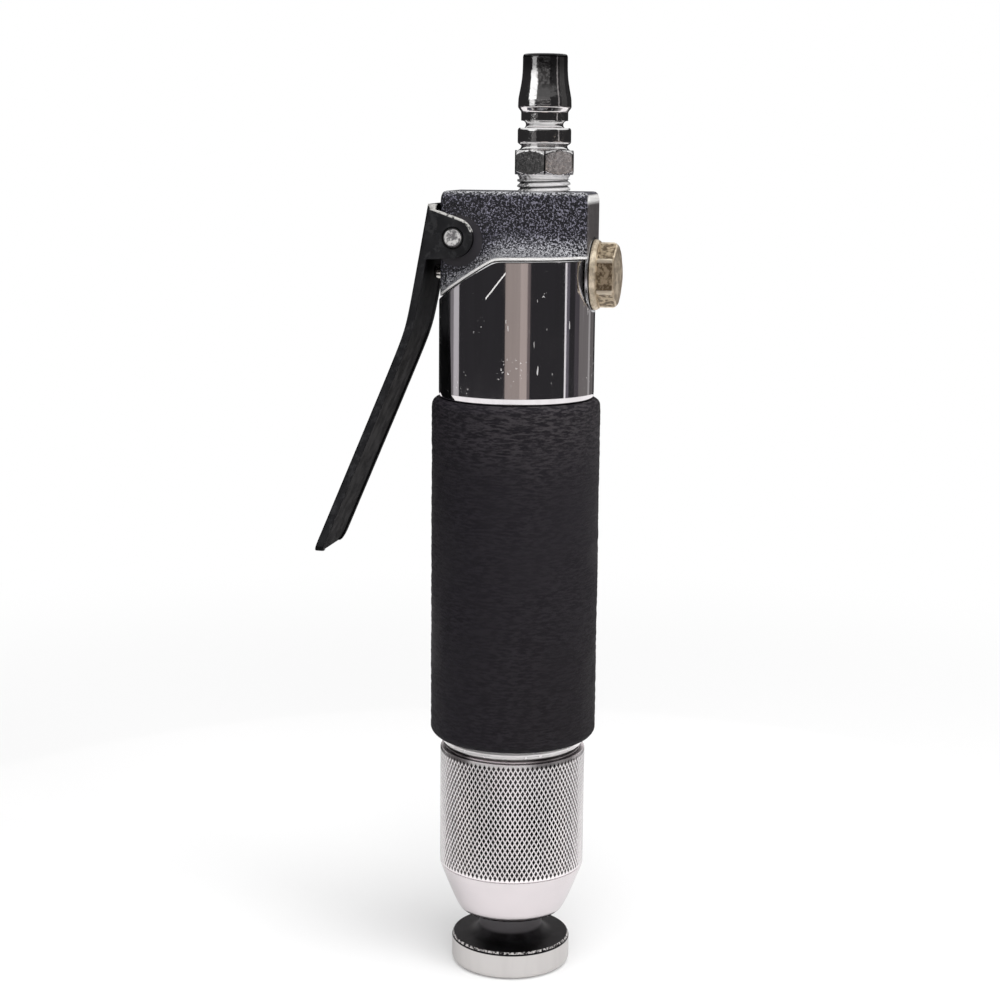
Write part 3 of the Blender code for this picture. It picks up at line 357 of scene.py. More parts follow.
class Growth(Tree):                    # a geometry node group with named inputs
    kinds = {"float": "NodeSocketFloat", "whole": "NodeSocketInt", "material": "NodeSocketMaterial"}

    def __init__(self, name, **inputs):
        self.group = bpy.data.node_groups.new(name, "GeometryNodeTree")
        super().__init__(self.group)
        sockets = self.group.interface
        sockets.new_socket("Geometry", in_out="INPUT", socket_type="NodeSocketGeometry")
        self.identifiers = {}
        for key, kind in inputs.items():
            made = sockets.new_socket(key, in_out="INPUT", socket_type=self.kinds[kind])
            self.identifiers[key] = made.identifier
        sockets.new_socket("Geometry", in_out="OUTPUT", socket_type="NodeSocketGeometry")
        entry = self.nodeTree.nodes.new("NodeGroupInput")
        self.input = {out.name: Wire(self, out) for out in entry.outputs if out.name}
        self.exit = self.nodeTree.nodes.new("NodeGroupOutput")

    def vector(self, x, y, z):
        return self.make("ShaderNodeCombineXYZ", {}, {0: x, 1: y, 2: z})

    def ends(self, geometry):
        whole = self.make("GeometryNodeRealizeInstances", {}, {0: geometry})
        coat = {"Geometry": whole, "Material": self.input["Material"]}
        self.link(self.make("GeometryNodeSetMaterial", {}, coat), self.exit, 0)
        return self

    def grow(self, piece, **values):
        modifier = piece.modifiers.new(self.group.name, "NODES")
        modifier.node_group = self.group
        for key, value in values.items():
            modifier[self.identifiers[key]] = value
        return plain(piece)


# places taken from the frame

barrelLow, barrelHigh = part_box("barrel")
headLow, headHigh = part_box("head_casting")
capLow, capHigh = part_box("knurled_cap")
gripLow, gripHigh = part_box("grip_sleeve")
setLow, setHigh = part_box("rivet_set")
leverLow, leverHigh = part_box("throttle_lever")
pinLow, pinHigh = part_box("lever_pin")
plugLow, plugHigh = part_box("coupler_plug")
boltLow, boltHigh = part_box("valve_cap")
washerLow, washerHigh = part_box("valve_cap_washer")
cylinderLow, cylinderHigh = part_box("cylinder")
bodyRadius = barrelHigh.x
valveZ = (washerLow.z + washerHigh.z) / 2
valveLine = (0, 0, valveZ)
pivotX, pivotZ = (pinLow.x + pinHigh.x) / 2, (pinLow.z + pinHigh.z) / 2
pivot = (pivotX, 0, pivotZ)
plugX = (plugLow.x + plugHigh.x) / 2
seatGap = 0.3 * mm


# camera

look = {
    "turn": 12.0, "pitch": 10.26, "roll": 0.54,          # degrees
    "distance": 0.4904, "height": 0.2125, "aside": 3.85 * mm, "lens": 70.2, "sensor": 36,
}
turn, pitch = radians(look["turn"]), radians(look["pitch"])


def makeCamera():
    right = Vector((cos(turn), sin(turn), 0))
    back = Vector((sin(turn), -cos(turn), 0))
    forward = -back * cos(pitch) - Vector((0, 0, sin(pitch)))
    roll = Matrix.Rotation(-radians(look["roll"]), 3, forward)
    axes = Matrix((roll @ right, roll @ right.cross(forward), -forward)).transposed()
    eye = back * look["distance"] - right * look["aside"] + Vector((0, 0, look["height"]))
    data = bpy.data.cameras.new("camera")
    data.sensor_width = look["sensor"]
    data.lens = look["lens"]
    data.clip_start = 0.01
    data.clip_end = 20
    camera = bpy.data.objects.new("camera", data)
    camera.matrix_world = Matrix.LocRotScale(eye, axes, None)
    bpy.context.scene.collection.objects.link(camera)
    bpy.context.scene.camera = camera


def toTheRight(x, y):                   # how far right of the axis a place lies, as the camera stands
    return x * cos(turn) + y * sin(turn)


def fromAxis(x, y):
    return (x * x + y * y).root()


# stage: a pale floor, and cards that only reflections see

floorShape = {"half": 6.0, "glowFrom": 0.12, "glowFull": 0.5}


def makeFloor():
    half = floorShape["half"]
    corners = [(-half, -half, 0), (half, -half, 0), (half, half, 0), (-half, half, 0)]
    floor = meshObject("floor", corners, [(0, 1, 2, 3)])
    pale = Finish("floorWhite", (0.86, 0.86, 0.86), Roughness=0.7)
    x, y, z = pale.place.parts()
    far = fromAxis(x, y).ramp(floorShape["glowFrom"], floorShape["glowFull"])
    seen = pale.make("ShaderNodeLightPath")              # Is Camera Ray
    glow = pale.make("ShaderNodeEmission", {}, {"Color": (1, 1, 1, 1), "Strength": 1.0})
    own = Wire(pale, pale.shader.outputs[0])
    pale.surface(pale.make("ShaderNodeMixShader", {}, {0: (0.3 + far * 0.7) * seen, 1: own, 2: glow}))
    floor.data.materials.append(pale.material)
    return floor


def makeWorld():                        # white to the camera and in reflections, weaker as a light
    world = bpy.data.worlds.new("studio")
    bpy.context.scene.world = world
    world.use_nodes = True
    sky = Tree(world.node_tree)
    path = sky.make("ShaderNodeLightPath").socket.node
    seen, glossy, through = [
        Wire(sky, path.outputs["Is " + kind + " Ray"]) for kind in ("Camera", "Glossy", "Transmission")]
    background = world.node_tree.nodes["Background"]
    background.inputs["Color"].default_value = (1, 1, 1, 1)
    sky.link((seen + glossy * 0.9 + through * 0.9).atMost(1.0).atLeast(0.30), background, "Strength")


def strip(name, sector, steps, edges, colour, strength):     # a glowing ribbon; degrees right of the camera
    start, stop = sector
    angles = [turn - pi / 2 + radians(start + (stop - start) * step / steps) for step in range(steps + 1)]
    points = [
        (radius * cos(angle), radius * sin(angle), height) for angle in angles for radius, height in edges]
    faces = [(2 * step, 2 * step + 1, 2 * step + 3, 2 * step + 2) for step in range(steps)]
    piece = meshObject(name, points, faces)
    glowing = Finish(name + "Glow", colour)
    glow = glowing.make("ShaderNodeEmission", {}, {"Color": (*colour, 1), "Strength": strength})
    piece.data.materials.append(glowing.surface(glow).material)
    piece.visible_camera = piece.visible_diffuse = piece.visible_shadow = False
    piece.visible_transmission = piece.visible_volume_scatter = False
    return piece


def card(name, radius, sector, heights, colour, strength=1.0):
    steps = max(2, ceil((sector[1] - sector[0]) / 4))
    return strip(name, sector, steps, [(radius, height) for height in heights], colour, strength)


near, wide = 0.3, 0.7                    # radii of two rings of cards
besideBarrel = (0.092, 0.186)            # heights that the barrel reflects
nearCards = {
    "frontBrown": ((-17, 4), (0.34, 0.285, 0.265)),
    "frontPale": ((4, 14), (0.46, 0.385, 0.36)),
    "frontEdge": ((14, 18), (0.16, 0.13, 0.13)),
    "rightLine": ((71.5, 74.5), (0.90, 0.86, 0.88)),
    "rightShade": ((74.5, 80), (0.12, 0.11, 0.13)),
    "rightSoft": ((91, 101), (0.070, 0.062, 0.07)),
    "rightBand": ((101, 127), (0.17, 0.155, 0.155)),
    "rightBright": ((127, 134), (0.36, 0.34, 0.34)),
    "rightEnd": ((134, 152), (0.13, 0.12, 0.12)),
    "leftBright": ((-104, -92), (0.50, 0.47, 0.49)),
    "leftFading": ((-112, -104), (0.20, 0.185, 0.195)),
    "leftSoft": ((-125, -112), (0.085, 0.08, 0.085)),
    "leftLine": ((-131, -125), (0.33, 0.31, 0.33)),
    "leftEnd": ((-160, -131), (0.035, 0.033, 0.035)),
}
plugCards = {                            # what the air plug reflects
    "hexLeft": ((-90, -35), (0.158, 0.188), (0.085, 0.09, 0.088)),
    "hexRight": ((35, 90), (0.158, 0.188), (0.50, 0.43, 0.39)),
    "collarGlint": ((-58, -36), (0.191, 0.236), (0.13, 0.125, 0.125)),
    "plugLine": ((60, 65), (0.191, 0.5), (0.36, 0.34, 0.34)),
    "plugRight": ((76, 110), (0.24, 0.5), (0.06, 0.058, 0.058)),
    "taperWhite": ((-76, -38), (0.31, 0.5), (1.0, 1.0, 1.0), 1.3),
    "footWhite": ((-70, -46), (0.25, 0.31), (0.9, 0.9, 0.9)),
    "footLine": ((-38, 24), (0.306, 0.3135), (0.6, 0.58, 0.58)),
    "taperShade": ((-38, 60), (0.48, 0.85), (0.10, 0.098, 0.098)),
    "taperCentre": ((-38, 22), (0.315, 0.48), (0.12, 0.117, 0.117)),
}
floorCards = {                           # what the knurl's flats reflect: paler to the sides
    (-72, 72): 0.014, (72, 90): 0.08, (90, 106): 0.25, (106, 124): 0.5,
    (-90, -72): 0.08, (-106, -90): 0.25, (-124, -106): 0.5,
}


def makeCards():
    allRound = (-180, 180)
    cards = [
        card("darkWall", wide + 0.02, allRound, (0.0, 0.50), (0.50, 0.48, 0.50), 0.05),
        card("nearDark", near + 0.01, allRound, besideBarrel, (0.50, 0.47, 0.52), 0.055),
        card("lowBright", 0.235, allRound, (0.0, 0.115), (0.95, 0.91, 0.92), 1.1),
    ]
    cards += [card(name, near, sector, besideBarrel, colour) for name, (sector, colour) in nearCards.items()]
    cards += [card(name, wide, *settings) for name, settings in plugCards.items()]
    edges = [(0.080, 0.5 * mm), (0.229, 0.5 * mm)]
    for number, (sector, strength) in enumerate(floorCards.items()):
        cards.append(strip("floorDark" + str(number), sector, 16, edges, (1.0, 0.95, 0.95), strength))
    return cards


def softbox(name, place, size, power):
    light = bpy.data.lights.new(name, "AREA")
    light.shape = "DISK"
    light.size = size
    light.energy = power
    lamp = bpy.data.objects.new(name, light)
    lamp.location = place
    lamp.rotation_euler = (Vector(place) - Vector((0, 0, 0.12))).to_track_quat("Z", "Y").to_euler()
    lamp.visible_glossy = False
    bpy.context.scene.collection.objects.link(lamp)


makeCamera()
floor = makeFloor()
cards = makeCards()
makeWorld()
softbox("topLight", (0.15, -0.3, 1.3), 0.9, 17)
softbox("frontLight", (0.3, -1.1, 0.6), 0.8, 3.5)
softbox("rightLight", (1.0, -0.5, 0.5), 0.6, 4.5)
print("stage and camera ready")


# rivet set

setShape = {
    "outer": setHigh.x, "edge": 1.6 * mm, "rimTop": 6.65 * mm, "faceHigh": 7.6 * mm, "fillet": 3.2 * mm,
    "neck": 8.25 * mm, "grooveDepth": 2.1 * mm, "shank": 5.1 * mm, "chamfer": 0.5 * mm,
}


def setSteel():
    steel = Finish("setSteel", (0.70, 0.68, 0.67), Metallic=1.0, Roughness=0.3)
    x, y, z = steel.place.parts()
    radius = fromAxis(x, y)
    rimTop, outer = pick(setShape, "rimTop outer")
    rim = z.fall(rimTop - 0.05 * mm, rimTop + 0.03 * mm)
    bevel = (z - rimTop).ramp(0.40 * mm, 0.45 * mm) * (radius - outer).ramp(-0.55 * mm, -0.40 * mm)
    # flecks on the rim's bevel: chipped edge, painted bright and less metallic as glints
    chipsAndGlints = steel.noise(1500, 5, 0.7).ramp(0.46, 0.56)
    bright = (rim + bevel * chipsAndGlints).atMost(1.0)
    cloud = steel.noise(240, 4)
    lines = (radius * (2 * pi / (0.3 * mm))).sine()
    grind = steel.noise(500, 3, stretch=(1, 1, 0.1)).ramp(0.35, 0.7)
    # painted highlight: the neck is painted lighter than the face below it
    neck = (z - setShape["faceHigh"]).ramp(1.9 * mm, 3.1 * mm)
    # painted shade: the face and neck are painted near-black steel, which keeps their reflections dark
    dark = steel.mix(cloud.ramp(0.35, 0.7), (0.010, 0.0095, 0.010), (0.025, 0.024, 0.026))
    dark = steel.mix(neck, dark, (0.105, 0.10, 0.105))
    light = steel.mix(grind * 0.25, (0.585, 0.565, 0.555), (0.50, 0.485, 0.475))
    return steel.set(
        Base_Color=steel.mix(bright, dark, light),
        Metallic=1 - bevel * chipsAndGlints * 0.6,
        Roughness=0.26 + cloud * 0.12 + (1 - bright) * 0.24,
        Normal=steel.bump(lines * (1 - rim) + cloud, 0.12, 0.03 * mm),
    )


def makeSet(finish):
    grooveLow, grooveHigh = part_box("retaining_collar_left")
    shoulder = cylinderLow.z - seatGap
    outer, edge, face, neck, fillet = pick(setShape, "outer edge faceHigh neck fillet")
    shank, chamfer = pick(setShape, "shank chamfer")
    groove, low, high = neck - setShape["grooveDepth"], grooveLow.z - seatGap, grooveHigh.z + seatGap
    outline = [(0, setLow.z)] + arc((outer - edge, edge), (edge, edge), -90, 0, 8)
    outline += softOutline([
        (outer, edge * 1.1), (outer, face - 0.9 * mm, 0.25 * mm), (outer - 0.4 * mm, face, 0.2 * mm),
        (outer - 0.8 * mm, face),
    ])
    outline += arc((neck + fillet, face + fillet), (fillet, fillet), -90, -180, 12)
    outline += softOutline([
        (neck, grooveLow.z - 1 * mm), (neck, low, 0.2 * mm), (groove, low), (groove, high),
        (neck, high, 0.2 * mm), (neck, shoulder, 0.3 * mm), (shank, shoulder), (shank, setHigh.z - chamfer),
        (shank - chamfer, setHigh.z, 0.2 * mm), (0, setHigh.z),
    ])
    return finished(turned("rivetSet", outline, 160), "set", ["rivet_set"], finish)


# knurled cap

knurl = {
    "outer": capHigh.x, "depth": 0.20 * mm, "low": 27.8 * mm, "high": 59.0 * mm,
    "around": 95, "rows": 28, "flat": 0.68,              # flat top of a tooth, as a share of its foot
}
capShape = {
    "bore": 9.55 * mm, "boreFloor": 6.9 * mm, "lip": 3.3 * mm, "coneFoot": 4.05 * mm, "bulge": 0.86,
    "wall": 5.6 * mm, "thread": 15.05 * mm, "recessWidth": 1.3 * mm, "recessDepth": 2.2 * mm, "rim": 1.0 * mm,
}


def knurledSatin():
    satin = Finish("knurledSatin", (0.80, 0.77, 0.78), Metallic=1.0, Roughness=0.28)
    x, y, z = satin.place.parts()
    outer, depth, low, high = pick(knurl, "outer depth low high")
    band = z.band(low - 0.1 * mm, high + 0.1 * mm, 0.3 * mm)
    gap = (1 - fromAxis(x, y).ramp(outer - depth * 0.24, outer - depth * 0.15)) * band
    lines = (z * (2 * pi / (0.3 * mm)) + satin.noise(300) * 2).sine()
    cloud = satin.noise(120, 4).ramp(0.3, 0.75)
    satinToneAndPaintedLight = satin.mix(cloud, (0.70, 0.65, 0.665), (0.67, 0.625, 0.64))
    # painted reflection: in the knurl the teeth's flat tops are painted dark grey, the valleys between them
    # bright and less metallic
    satinToneAndPaintedLight = satin.mix(band, satinToneAndPaintedLight, (0.42, 0.40, 0.405))
    satinToneAndPaintedLight = satin.mix(gap, satinToneAndPaintedLight, (0.87, 0.84, 0.845))
    sideways = toTheRight(x, y)
    shaded = sideways.fall(-12.5 * mm, -9.5 * mm) + sideways.ramp(2.5 * mm, 7.0 * mm)
    shaded = shaded * sideways.ramp(14.0 * mm, 17.5 * mm, 1.0, 0.45) * (0.65 + cloud * 0.35)
    shaded = shaded * (z - high).ramp(-1.2 * mm, -0.8 * mm)      # the top rim, darker to both sides
    return satin.set(
        Base_Color=satin.mix(shaded, satinToneAndPaintedLight, (0.075, 0.066, 0.068)),
        Metallic=1 - gap * 0.45,
        Roughness=0.24 + cloud * 0.03 - band * 0.12,
        Normal=satin.bump(lines * (1 - band), 0.03, 0.02 * mm),
    )


def knurlTree():                        # frustums in staggered rows round the body
    growth = Growth("diamondKnurl", Across="float", Along="float", Depth="float", Radius="float",
                    Low="float", Around="whole", Count="whole", Material="material")
    across, along, depth = growth.input["Across"], growth.input["Along"], growth.input["Depth"]
    around = growth.input["Around"]
    index = growth.make("GeometryNodeInputIndex")
    row = (index / around).floor()
    column = index - row * around + (row % 2) * 0.5
    angle = column * (2 * pi) / around
    reach = growth.input["Radius"] - depth * 1.02        # sunk a little, so that no gap shows
    height = growth.input["Low"] + (row + 1) * along / 2
    place = growth.vector(angle.cosine() * reach, angle.sine() * reach, height)
    points = growth.make("GeometryNodePoints", {}, {"Count": growth.input["Count"], "Position": place})
    pyramid = growth.make("GeometryNodeMeshCone", {"fill_type": "NGON"}, {
        "Vertices": 4, "Radius Top": knurl["flat"], "Radius Bottom": 1.0, "Depth": 1.0})
    wearAndPaintedLight = growth.make("FunctionNodeRandomValue", {"data_type": "FLOAT"}, {2: 0.9, 3: 1.0, "Seed": 7}, out=1)
    size = growth.vector(along / 2, across / 2, depth * wearAndPaintedLight)
    facing = growth.make("FunctionNodeEulerToRotation", {}, {0: growth.vector(0.0, pi / 2, angle)})
    teeth = growth.make("GeometryNodeInstanceOnPoints", {}, {
        "Points": points, "Instance": pyramid, "Rotation": facing, "Scale": size})
    body = growth.make("GeometryNodeJoinGeometry", {}, {0: teeth})
    growth.link(growth.input["Geometry"], body.socket.node, 0)
    return growth.ends(body)


def makeCap(finish):
    outer, depth, low, count = pick(knurl, "outer depth low around")
    bore, lip, thread = pick(capShape, "bore lip thread")
    mouth, top, root, rim = capLow.z, capHigh.z, outer - depth, outer - capShape["rim"]
    floorHigh, chamber = mouth + capShape["boreFloor"], outer - capShape["wall"]
    threadLow = cylinderLow.z - 0.9 * mm
    recess, recessLow = thread + capShape["recessWidth"], top - capShape["recessDepth"]
    foot = bore + capShape["coneFoot"]
    shares = [step / 12 for step in range(13)]
    cone = [(foot + (outer - foot) * share ** capShape["bulge"] * 0.994,
             mouth + 0.5 * mm + (low - 0.9 * mm - mouth) * share) for share in shares]
    outline = softOutline([
        (bore, mouth + 3 * mm), (bore, mouth + 0.5 * mm, 0.2 * mm), (bore + 0.5 * mm, mouth, 0.2 * mm),
        (bore + lip, mouth, 0.3 * mm), cone[0],
    ])
    outline += cone[1:]
    outline += softOutline([
        (outer, low - 0.15 * mm), (outer, low, 0.1 * mm), (root, low + 0.5 * mm),
        (root, top - 0.6 * mm, 0.1 * mm), (rim, top, 0.3 * mm), (recess, top), (recess, recessLow),
        (thread, recessLow), (thread, threadLow), (chamber, threadLow), (chamber, floorHigh),
        (bore, floorHigh), (bore, mouth + 4 * mm),
    ])
    piece = turned("knurledCap", outline, 2 * count)
    knurlTree().grow(
        piece, Across=2 * pi * outer / count, Along=(knurl["high"] - low) * 2 / (knurl["rows"] + 1),
        Depth=depth, Radius=outer, Low=low, Around=count, Count=count * knurl["rows"],
        Material=finish.material)
    return finished(piece, "cap", ["knurled_cap"], finish, sharp=25)


# foam grip

grip = {
    "wall": 2.8 * mm, "edge": 2.0 * mm, "chamfer": 0.3 * mm, "wrinkle": 0.22 * mm, "rows": 300, "sides": 240,
}


def foamSkin():
    foam = Finish("foamSkin", (0.014, 0.012, 0.016), Roughness=0.82, Specular_IOR_Level=0.22)
    creases = foam.noise(1350, 4, 0.66, stretch=(0.34, 0.34, 1.5))
    pores = foam.noise(2600, 3)
    patches = foam.noise(55, 3).ramp(0.4, 0.65)
    x, y, height = foam.place.parts()
    # painted light: the foam is painted lighter, and its ridges more marked, towards the top
    higher = height.ramp(gripHigh.z - 26 * mm, gripHigh.z)
    # painted light and shade of the wrinkles: their ridges are painted lighter than their creases
    paintedRidgeLight = creases.ramp(0.42, 0.60) * (0.35 + patches * 0.35 + higher * 0.5).atMost(1.0)
    # painted shade: the foam is painted darker towards the bottom and towards the left side
    lower = height.ramp(gripLow.z, gripHigh.z - 30 * mm)
    left = toTheRight(x, y).fall(-bodyRadius, bodyRadius * 0.4)
    dark = foam.mix(lower, (0.0075, 0.0062, 0.0080), (0.0105, 0.0090, 0.0118))
    dark = foam.mix(left, dark, (0.0068, 0.0056, 0.0088))
    light = foam.mix(higher, (0.0225, 0.0200, 0.0235), (0.046, 0.041, 0.045))
    light = foam.mix(left * 0.6, light, (0.0165, 0.0135, 0.0205))
    return foam.set(
        Base_Color=foam.mix(paintedRidgeLight, dark, light),
        Roughness=0.72 + patches * 0.14,
        Normal=foam.bump((creases + pores * 0.3) * (0.5 + patches * 0.5 + higher * 0.9), 1.0, 0.5 * mm),
    )


def wrinkleTree():                      # sinks the outside by two noises, the finer one lying round the grip
    growth = Growth("foamWrinkles", Depth="float", Bore="float", Material="material")
    place = growth.make("GeometryNodeInputPosition")
    x, y, z = place.parts()
    radius = fromAxis(x, y)
    outside = (radius - growth.input["Bore"]).ramp(0.6 * mm, 2.0 * mm)
    lying = growth.vector(x * 0.25, y * 0.25, z * 2.0)
    fine = {"Vector": lying, "Scale": 330, "Detail": 3, "Roughness": 0.6}
    folds = growth.make("ShaderNodeTexNoise", {}, fine)
    waves = growth.make("ShaderNodeTexNoise", {}, {"Vector": place, "Scale": 45, "Detail": 2})
    inset = (folds.ramp(0.3, 0.75) * 0.6 + waves.ramp(0.3, 0.7) * 0.4) * growth.input["Depth"] * outside
    shift = growth.vector(x / radius * inset * -1, y / radius * inset * -1, 0.0)
    whole = growth.input["Geometry"]
    return growth.ends(growth.make("GeometryNodeSetPosition", {}, {"Geometry": whole, "Offset": shift}))


def makeGrip(finish):
    wall, edge, chamfer, rows = pick(grip, "wall edge chamfer rows")
    outer, bore = gripHigh.x, gripHigh.x - wall
    low, high = gripLow.z + edge, gripHigh.z - edge
    outline = [(bore, low), (bore, gripLow.z + chamfer), (bore + chamfer, gripLow.z)]
    outline += arc((outer - edge, low), (edge, edge), -90, 0, 12)
    outline += [(outer, height) for height in np.linspace(low, high, rows + 1)[1:-1]]
    outline += arc((outer - edge, high), (edge, edge), 0, 90, 12)
    outline += [(bore + chamfer, gripHigh.z), (bore, gripHigh.z - chamfer), (bore, high)]
    piece = turned("foamGrip", outline, grip["sides"])
    wrinkleTree().grow(piece, Depth=grip["wrinkle"], Bore=bore, Material=finish.material)
    finished(piece, "housing", ["grip_sleeve"], finish, sharp=60)
    return piece


# barrel

tube = {"wall": 3.1 * mm, "seat": 1.25 * mm, "sides": 240}
valveMouth = {"bore": 6.4 * mm, "seat": 9.3 * mm}
ledge = {"top": barrelHigh.z + seatGap, "breakX": -2 * mm, "slope": 0.62, "blend": 1.2 * mm}


def ledgeHeight(x):                     # joint under the head: level at the right, sloping down to the lever
    past = ledge["breakX"] - x
    return ledge["top"] - ledge["slope"] * (past + (past * past + ledge["blend"] ** 2) ** 0.5) / 2


def mouthOutline(start):                # bore of the valve cap, and the flat seat round it
    bore, seat = pick(valveMouth, "bore seat")
    floor = washerLow.x - seatGap
    return [(bore, start), (bore, floor), (seat, floor), (seat, 2 * bodyRadius), (0, 2 * bodyRadius)]


def scratch(plate):                     # one long scratch on the front, under the head
    x, y, z = plate.place.parts()
    start, stop, low, climb = -4.0 * mm, 1.2 * mm, 176.2 * mm, 1.26
    away = abs(z - low - (x - start) * climb + (plate.noise(700) - 0.5) * 0.3 * mm)
    return away.fall(0.16 * mm, 0.32 * mm) * x.band(start, stop, 0.2 * mm) * (y < 0.0)


def chromePlate():
    plate = Finish("chromePlate", (0.80, 0.80, 0.81), Metallic=1.0, Roughness=0.05)
    haze = plate.noise(70, 5).ramp(0.35, 0.75)
    streaks = plate.noise(500, 3, stretch=(1, 1, 0.05)).ramp(0.35, 0.7)
    hair = plate.noise(1500, 1, stretch=(1, 1, 0.14), tilt=(0.3, 0.6, 0.2)).ramp(0.775, 0.79)
    nicks = plate.noise(1400, 3, 0.7).ramp(0.64, 0.68) * plate.noise(90, 2).ramp(0.56, 0.60)
    height = plate.place.parts()[2]
    marks = (hair * 0.6 + nicks + scratch(plate)).atMost(1.0) * (height - gripHigh.z).ramp(2 * mm, 3 * mm)
    clean = plate.mix(streaks * 0.5, (0.82, 0.82, 0.83), (0.72, 0.71, 0.72))
    return plate.set(
        Base_Color=plate.mix(marks * 0.8, clean, (0.95, 0.93, 0.91)),
        Metallic=1 - marks * 0.7,
        Roughness=0.035 + haze * 0.04 + streaks * 0.03 + marks * 0.4,
        Normal=plate.bump(haze * 0.4 - marks, 0.12, 0.05 * mm),
    )


def makeBarrel(finish):
    bore, seat = bodyRadius - tube["wall"], bodyRadius - tube["seat"]
    low, step = barrelLow.z, gripHigh.z + seatGap
    sections = []
    for side in range(tube["sides"]):
        angle = 2 * pi * side / tube["sides"]
        way = Vector((cos(angle), sin(angle), 0))
        outerTop = ledgeHeight(bodyRadius * way.x) - seatGap
        innerTop = ledgeHeight(bore * way.x) - seatGap
        outline = softOutline([
            (bore, low), (seat - 0.5 * mm, low, 0.1 * mm), (seat, low + 0.5 * mm, 0.1 * mm), (seat, step),
            (bodyRadius - 0.25 * mm, step, 0.05 * mm), (bodyRadius, step + 1.0 * mm, 0.5 * mm),
            (bodyRadius, outerTop, 0.3 * mm), (bodyRadius - 0.6 * mm, outerTop), (bore, innerTop),
        ])
        sections.append([way * radius + Vector((0, 0, height)) for radius, height in outline])
    piece = lofted("barrelTube", sections, loop=True)
    cut(piece, [turned("valveHole", [(0, 0)] + mouthOutline(0), 96, "x", valveLine)])
    return finished(piece, "housing", ["barrel"], finish)


# head casting

headShape = {
    "half": 9 * mm, "corner": 1.6 * mm, "flare": 6.2 * mm, "land": 0.7 * mm, "seatRadius": 8.2 * mm,
    "seatDepth": 0.3 * mm, "milled": 6.6 * mm, "pinHole": 2.75 * mm, "stemBore": 3.7 * mm, "stem": 2.3 * mm,
    "lip": 1.2 * mm, "chamber": 4.5 * mm, "chamberLength": 7.5 * mm, "inletSeat": 6.88 * mm, "duct": 2.8 * mm,
    "strainerRim": 0.5 * mm,
}
spigot = {"radius": bodyRadius - 3.4 * mm, "groove": 1.36 * mm, "half": 1.0 * mm, "rise": 0.35 * mm}


def ringGroove(ring):                   # outline of that o-ring's groove in a spigot
    low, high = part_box(ring)
    outer, depth, half = pick(spigot, "radius groove half")
    middle, inner = (low.z + high.z) / 2, outer - depth
    return [(outer, middle - half), (inner, middle - half), (inner, middle + half), (outer, middle + half)]


def crinklePaint():
    paint = Finish("crinklePaint", (0.016, 0.016, 0.02), Roughness=0.4)
    x, y, z = paint.place.parts()
    half, land, reach, corner = pick(headShape, "half land milled corner")
    folds = paint.noise(2300, 2, 0.65, 0.4)
    height = folds * 0.9 + paint.cells(2700) * 0.35
    above = z - ledgeHeight(x)
    bare = above.fall(land * 0.75, land * 1.05)
    away = fromAxis(x - pivotX - 0.8 * mm, z - pivotZ + 0.8 * mm)
    milled = away.fall(reach - 0.5 * mm, reach) * (abs(y) > half - headShape["seatDepth"] * 1.5)
    end = (x - headHigh.x).ramp(-0.5 * mm, -0.1 * mm)
    smooth = (bare + milled + end * 0.6).atMost(1.0)
    # painted light from above: the flare and the top edge get more and lighter peaks
    flare = above.fall(land, headShape["flare"] * 1.1)
    # painted shade: fewer light peaks towards the lever end
    shadeTowardLever = x.fall(headLow.x, 2 * mm)
    upper = (z - headHigh.z).ramp(-1.3 * mm, -0.2 * mm)
    upper = upper * (abs(y) - half + corner).ramp(-0.6 * mm, 0.2 * mm)
    # painted highlight: the crinkle's peaks are painted lighter than its hollows
    tips = (folds + flare * 0.045 + upper * 0.05 - shadeTowardLever * 0.025).ramp(0.52, 0.60)
    wearAndPaintedLight = paint.mix((flare + upper).atMost(1.0), (0.165, 0.16, 0.205), (0.38, 0.38, 0.40))
    coloured = paint.mix(tips, (0.0035, 0.0035, 0.0065), wearAndPaintedLight)
    coloured = paint.mix(end * 0.8, coloured, (0.078, 0.070, 0.069))
    coloured = paint.mix(milled, coloured, (0.028, 0.026, 0.031))
    # painted highlight: near-white at the top of the end face, by the top-right corner
    edge = end * (z - headHigh.z).ramp(-3.2 * mm, -1.8 * mm)
    coloured = paint.mix(edge * 0.9, coloured, (0.85, 0.84, 0.83))
    return paint.set(
        Base_Color=paint.mix(bare, coloured, (0.88, 0.87, 0.86)),
        Metallic=bare * 0.4,
        Roughness=0.30 + paint.noise(160).ramp(0.3, 0.7) * 0.1 + bare * 0.05,
        Normal=paint.bump(height * (1 - smooth), 1.0, 0.25 * mm),
    )


def headSection(x):
    corner, land, flare = pick(headShape, "corner land flare")
    fromEnd = min(x - headLow.x, headHigh.x - x)
    inset = corner - sqrt(corner ** 2 - (corner - fromEnd) ** 2) if fromEnd < corner else 0.0
    half, top = headShape["half"] - inset, headHigh.z - inset
    rim = max(sqrt(max(bodyRadius ** 2 - x * x, 0)), half)
    low = ledgeHeight(x)
    side = [(rim, low)]
    side += arc((rim, low + land + flare), (rim - half, flare), -90, -180, 12)
    side += arc((half - corner, top - corner), (corner, corner), 0, 90, 8)
    return [(x, y, z) for y, z in side] + [(x, -y, z) for y, z in reversed(side)]


